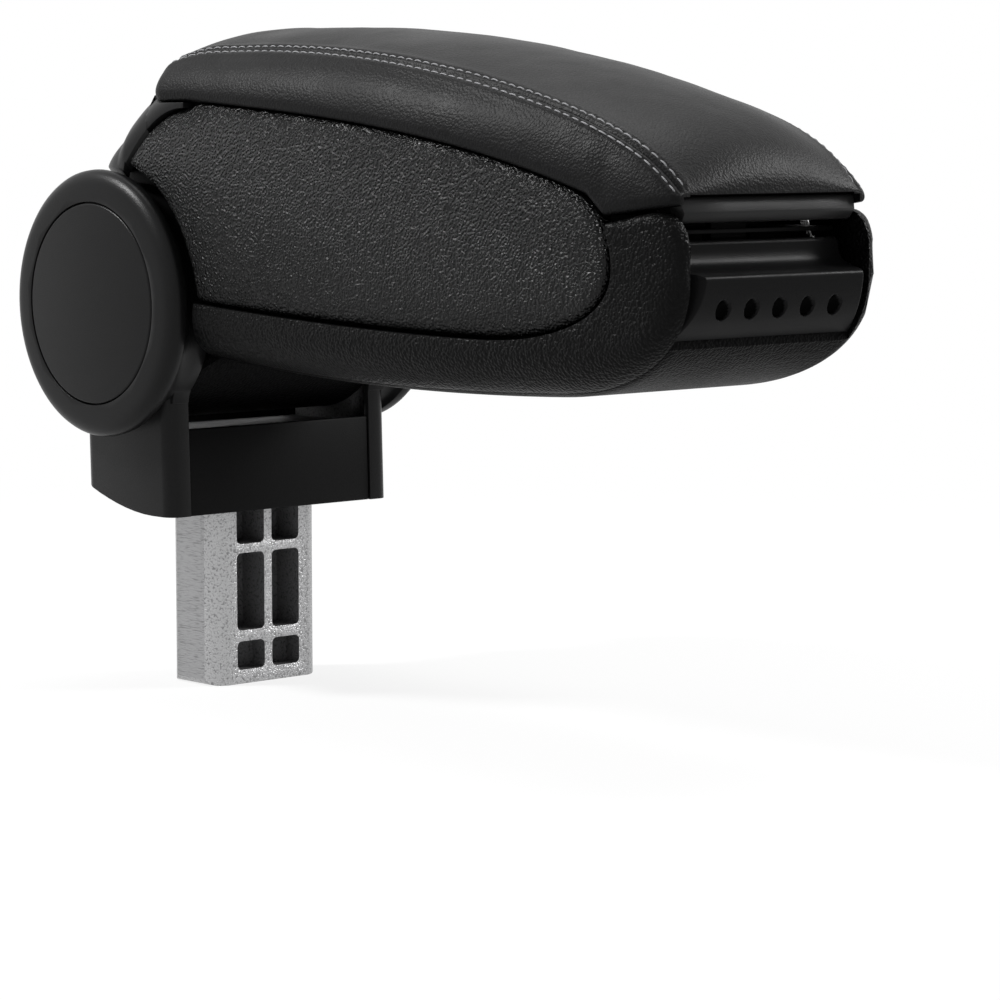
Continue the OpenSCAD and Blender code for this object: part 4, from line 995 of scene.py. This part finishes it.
# Lip strip of the lid: the smooth moulded front edge of the rigid lid base, just above the latch button.
# It has a light upper and a dark lower facet, and its ends are cut back at a slant.
LIP_FRONT, LIP_TOP, LIP_BREAK, LIP_LOW = 272.4, 42.0, 37.0, 33.9
LIP_HALF, LIP_BACK, LIP_FOLD = 40.3, 261.2, 266.5
lip_outline = [(LIP_BACK, LIP_TOP), (270.4, LIP_TOP), (271.0, LIP_TOP - 0.7), (LIP_FRONT, LIP_BREAK + 0.3),
               (LIP_FRONT - 0.15, LIP_BREAK - 0.3), (270.7, LIP_LOW + 0.4), (270.0, LIP_LOW),
               (LIP_FOLD, LIP_LOW), (LIP_FOLD, 39.4), (LIP_BACK, 39.4)]
lip = piece("lid_lip", *swept([[(x, s * (LIP_HALF - 0.25 * (LIP_TOP - z)), z) for x, z in lip_outline]
                               for s in (-1, -0.5, 0, 0.5, 1)]), bevel=0.3, limit=20)
painted(lip, grained("lip_plastic", (0.013, 0.013, 0.0132), 0.33, 0.00045, 0.00002, specular=0.12))
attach(lip, "lid")

# Latch button: a wide grey-black moulding with a finger scoop along its top and five round dimples.
# Its ends slope back beside the mouth, and its raised rear edge stops short of them.
FACE_X = ARM_L + 2.0
HALF_BUTTON = MOUTH - 0.6
HALF_FACE, END_RISE, END_ROUND = 36.0, 38.3, 2.4
DIMPLES, DIMPLE_PITCH, DIMPLE_D, DIMPLE_R, DIMPLE_Z, DIMPLE_LEAN = 5, 12.8, 6.6, 3.32, NOSE_Z - 11.8, 0.3


def smooth_path(points, step):
    """A dense path along a Catmull-Rom spline through the points."""
    points = np.asarray(points, float)
    padded = np.concatenate([[2 * points[0] - points[1]], points, [2 * points[-1] - points[-2]]])
    dense = []
    for i in range(1, len(padded) - 2):
        p0, p1, p2, p3 = padded[i - 1:i + 3]
        n = max(2, int(math.ceil(np.linalg.norm(p2 - p1) / step)))
        for t in np.linspace(0, 1, n, endpoint=False):
            dense.append(0.5 * ((2 * p1) + (p2 - p0) * t + (2 * p0 - 5 * p1 + 4 * p2 - p3) * t ** 2
                                + (-p0 + 3 * p1 - 3 * p2 + p3) * t ** 3))
    dense.append(points[-1])
    return np.array(dense)


f = FACE_X
front_face = smooth_path([
    (f - 12.2, BUTTON_LOW), (f - 10.1, NOSE_Z - 21), (f - 7.2, NOSE_Z - 18), (f - 4.7, NOSE_Z - 15),
    (f - 2.6, NOSE_Z - 11.6), (f - 1.1, NOSE_Z - 8), (f - 0.3, NOSE_Z - 5), (f, NOSE_Z - 2.6),
    (f - 0.5, NOSE_Z - 1.3), (f - 1.8, NOSE_Z - 0.75), (f - 3.6, NOSE_Z - 0.45), (f - 6.4, NOSE_Z - 0.1),
    (f - 9, NOSE_Z + 0.6), (f - 11.2, NOSE_Z + 2.4), (f - 12.4, NOSE_Z + 5), (f - 12.9, NOSE_Z + 8.2)], 0.45)
back_face = [(f - 13.6, NOSE_Z + 9.2), (f - 15.6, NOSE_Z + 9.2), (f - 16.4, NOSE_Z + 8.4),
             (f - 16.4, NOSE_Z + 1.5), (f - 14, NOSE_Z - 2.4), (f - 14, BUTTON_LOW)]
outline = np.concatenate([front_face, back_face])
button_y = np.unique(np.round(np.concatenate([
    np.linspace(-HALF_BUTTON, -HALF_FACE, 14), np.linspace(-HALF_FACE, HALF_FACE, 260),
    np.linspace(HALF_FACE, HALF_BUTTON, 14)]), 4))


def softer_min(a, b, k):
    """The smaller of two values, rounded over k where they cross."""
    h = unit(0.5 + 0.5 * (b - a) / k)
    return mixed(b, a, h) - k * h * (1 - h)


def from_dimple(y, z):
    """Distance from the middle of the nearest dimple, whose outline leans a little."""
    middles = (np.arange(DIMPLES) - (DIMPLES - 1) / 2) * DIMPLE_PITCH
    down = np.asarray(z - DIMPLE_Z)[..., None]
    return np.hypot(y - middles + DIMPLE_LEAN * down, down).min(-1)


inset = math.sqrt(DIMPLE_R ** 2 - (DIMPLE_D / 2) ** 2)
profiles = []
for y in button_y:
    xs, zs = outline.T.copy()
    depth = np.maximum(0, np.sqrt(np.maximum(0, DIMPLE_R ** 2 - from_dimple(y, zs) ** 2)) - inset)
    xs -= depth * (xs > f - 8.5) * (zs < NOSE_Z - 2)
    back = max(-3, abs(y) - HALF_FACE) * 10 / (HALF_BUTTON - HALF_FACE)
    xs = softer_min(xs, np.full(len(xs), f + 1 - back), 1.2)
    past = abs(y) - END_RISE
    if past > 0:
        root = END_ROUND - math.sqrt(END_ROUND ** 2 - max(0, END_ROUND - past) ** 2)
        zs = np.minimum(zs, NOSE_Z + 0.6 + root)
    elif past > -0.9:
        zs = np.minimum(zs, NOSE_Z + 9.2 - 0.9 * (1 + past / 0.9) ** 2)
    profiles.append(np.stack([xs, np.full(len(xs), y), zs], -1))
button = piece("latch_button_face", *swept(profiles), bevel=0.3, limit=50)
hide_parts("latch_button")
painted(button, grained("button_plastic", (0.006, 0.006, 0.0062), 0.33, 0.0005, 0.00002, specular=0.035),
        grained("dimple_painted_shade", (0.0006, 0.0006, 0.0006), 0.35, 0.0005, 0.00001, specular=0.01))
# Faces inside the dimples take a near-black finish: painted shade in the hollows.
for face in button.data.polygons:
    x, y, z = (np.array(face.center) - HINGE) * 1000
    if from_dimple(y, z) < DIMPLE_D / 2 - 0.25 and x > FACE_X - 10.5:
        face.material_index = 1
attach(button, "button")

# Post: one die-casting in aluminium, with a pocketed front, milled flanks and a forked head for the axle.
# Its spigot plugs into the bracket that carries the armrest; its edges are rounded as the die leaves them.
POCKET_DEEP, POCKET_HALF, POCKET_RIM = 0.0142, 0.0149, 0.0005
BASE_Z, SPIGOT_Z = 0.001, -0.02


def rounded_copy(node, name, bevel, finish, body, cuts=()):
    """A piece in its solid's own shape, with its edges rounded and boxes cut out."""
    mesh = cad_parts[node].data.copy()
    mesh.materials.clear()
    bm = bmesh.new()
    bm.from_mesh(mesh)
    bmesh.ops.remove_doubles(bm, verts=bm.verts, dist=1e-6)
    bmesh.ops.dissolve_limit(bm, angle_limit=math.radians(0.6), verts=bm.verts, edges=bm.edges)
    bm.to_mesh(mesh)
    bm.free()
    made = bpy.data.objects.new(name, mesh)
    scene.collection.objects.link(made)
    shaded(carved(softened(made, bevel, limit=30), cuts), 35)
    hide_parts(node)
    painted(made, finish)
    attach(made, body)
    return made


metal = grained("cast_aluminium", (0.42, 0.42, 0.425), 0.38, 0.0007, 0.00018, 1.0, 0.5, metallic=1.0)
milled = grained("milled_aluminium", (0.33, 0.33, 0.335), 0.36, 0.0006, 0.0001, 1.0, 0.4, metallic=1.0,
                 stretch=(0.14, 1.0, 1.6))
dark_head_and_pocket_shade = grained("dark_head_and_pocket_shade_casting", (0.09, 0.09, 0.092), 0.5, 0.0008, 0.0001, 1.0, 0.5, specular=0.1)
post = rounded_copy("post", "cast_post", 0.8, metal, "base")
post.data.materials.append(milled)
post.data.materials.append(dark_head_and_pocket_shade)
corners = np.array([v.co[:] for v in post.data.vertices])
post_low = corners[:, 2].min()
post_front = corners[corners[:, 2] < SPIGOT_Z, 0].max()
# The pocket walls take a dark grey finish as painted shade. The head above BASE_Z, inside the housings, is
# dark grey too, and the flanks take the milled finish.
for face in post.data.polygons:
    x, y, z = face.center
    in_base = z > BASE_Z
    in_pocket = (post_front - POCKET_DEEP < x < post_front - POCKET_RIM and abs(y) < POCKET_HALF
                 and z > post_low + 2 * POCKET_RIM)
    if in_base or in_pocket:
        face.material_index = 2
    elif abs(face.normal.y) > 0.9:
        face.material_index = 1

# Hinge housings, caps and pedestal covers: smooth satin mouldings that clothe the hinge and the post's head.
# Each half is one moulding, screwed to the fork, and the caps press into their round sides.
for side in ("left", "right"):
    rounded_copy(f"side_housing_{side}", f"housing_{side}", 0.35, satin, "base")
    rounded_copy(f"hinge_cap_{side}", f"cap_{side}", 0.3, satin, "base")
rounded_copy("front_panel", "pedestal_front", 0.5, dark_satin_and_painted_shade, "base")
rounded_copy("rear_panel", "pedestal_rear", 0.5, satin, "base")

# Inner mouldings: the storage tray with the hinge core, the frame round the latch, and the lid's rigid pan.
# All three are dark polypropylene; the pan gives way at its front to the lip strip.
rounded_copy("tray", "tray_shell", 0.3, dark_satin_and_painted_shade, "arm")
rounded_copy("latch_bezel", "latch_frame", 0.2, dark_satin_and_painted_shade, "arm")
lip_room = ((262.0, -46, 33.5), (285, 46, 43.0))
rounded_copy("lid_base", "lid_plate", 0.4, dark_satin_and_painted_shade, "lid", [lip_room])

# Fittings: steel axle, nuts, washers, screws and pin, polymer bushes, rubber mat, dark springs and catch.
# They are bought or turned parts that keep their solids' shape, and hardly show from outside.
steel = grained("plated_steel", (0.6, 0.6, 0.62), 0.3, 0.002, 0.000005, valley_shade=0.05, metallic=1.0)
polymer = grained("bush_polymer", (0.7, 0.69, 0.65), 0.5, 0.001, 0.000005, valley_shade=0.05)
rubber = grained("mat_rubber", (0.02, 0.02, 0.02), 0.8, 0.0012, 0.0001, 0.8, 0.5)
FITTINGS = {"axle": steel, "axle_nuts": steel, "friction_washers": steel, "housing_screws": steel,
            "lid_pin": steel, "axle_bushes": polymer, "tray_mat": rubber, "button_springs": dark_satin_and_painted_shade,
            "tray_screws": dark_satin_and_painted_shade, "lid_catch": dark_satin_and_painted_shade}
for node, finish in FITTINGS.items():
    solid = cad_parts[node]
    if not solid.material_slots:
        solid.data.materials.append(finish)
    for slot in solid.material_slots:
        slot.material = finish
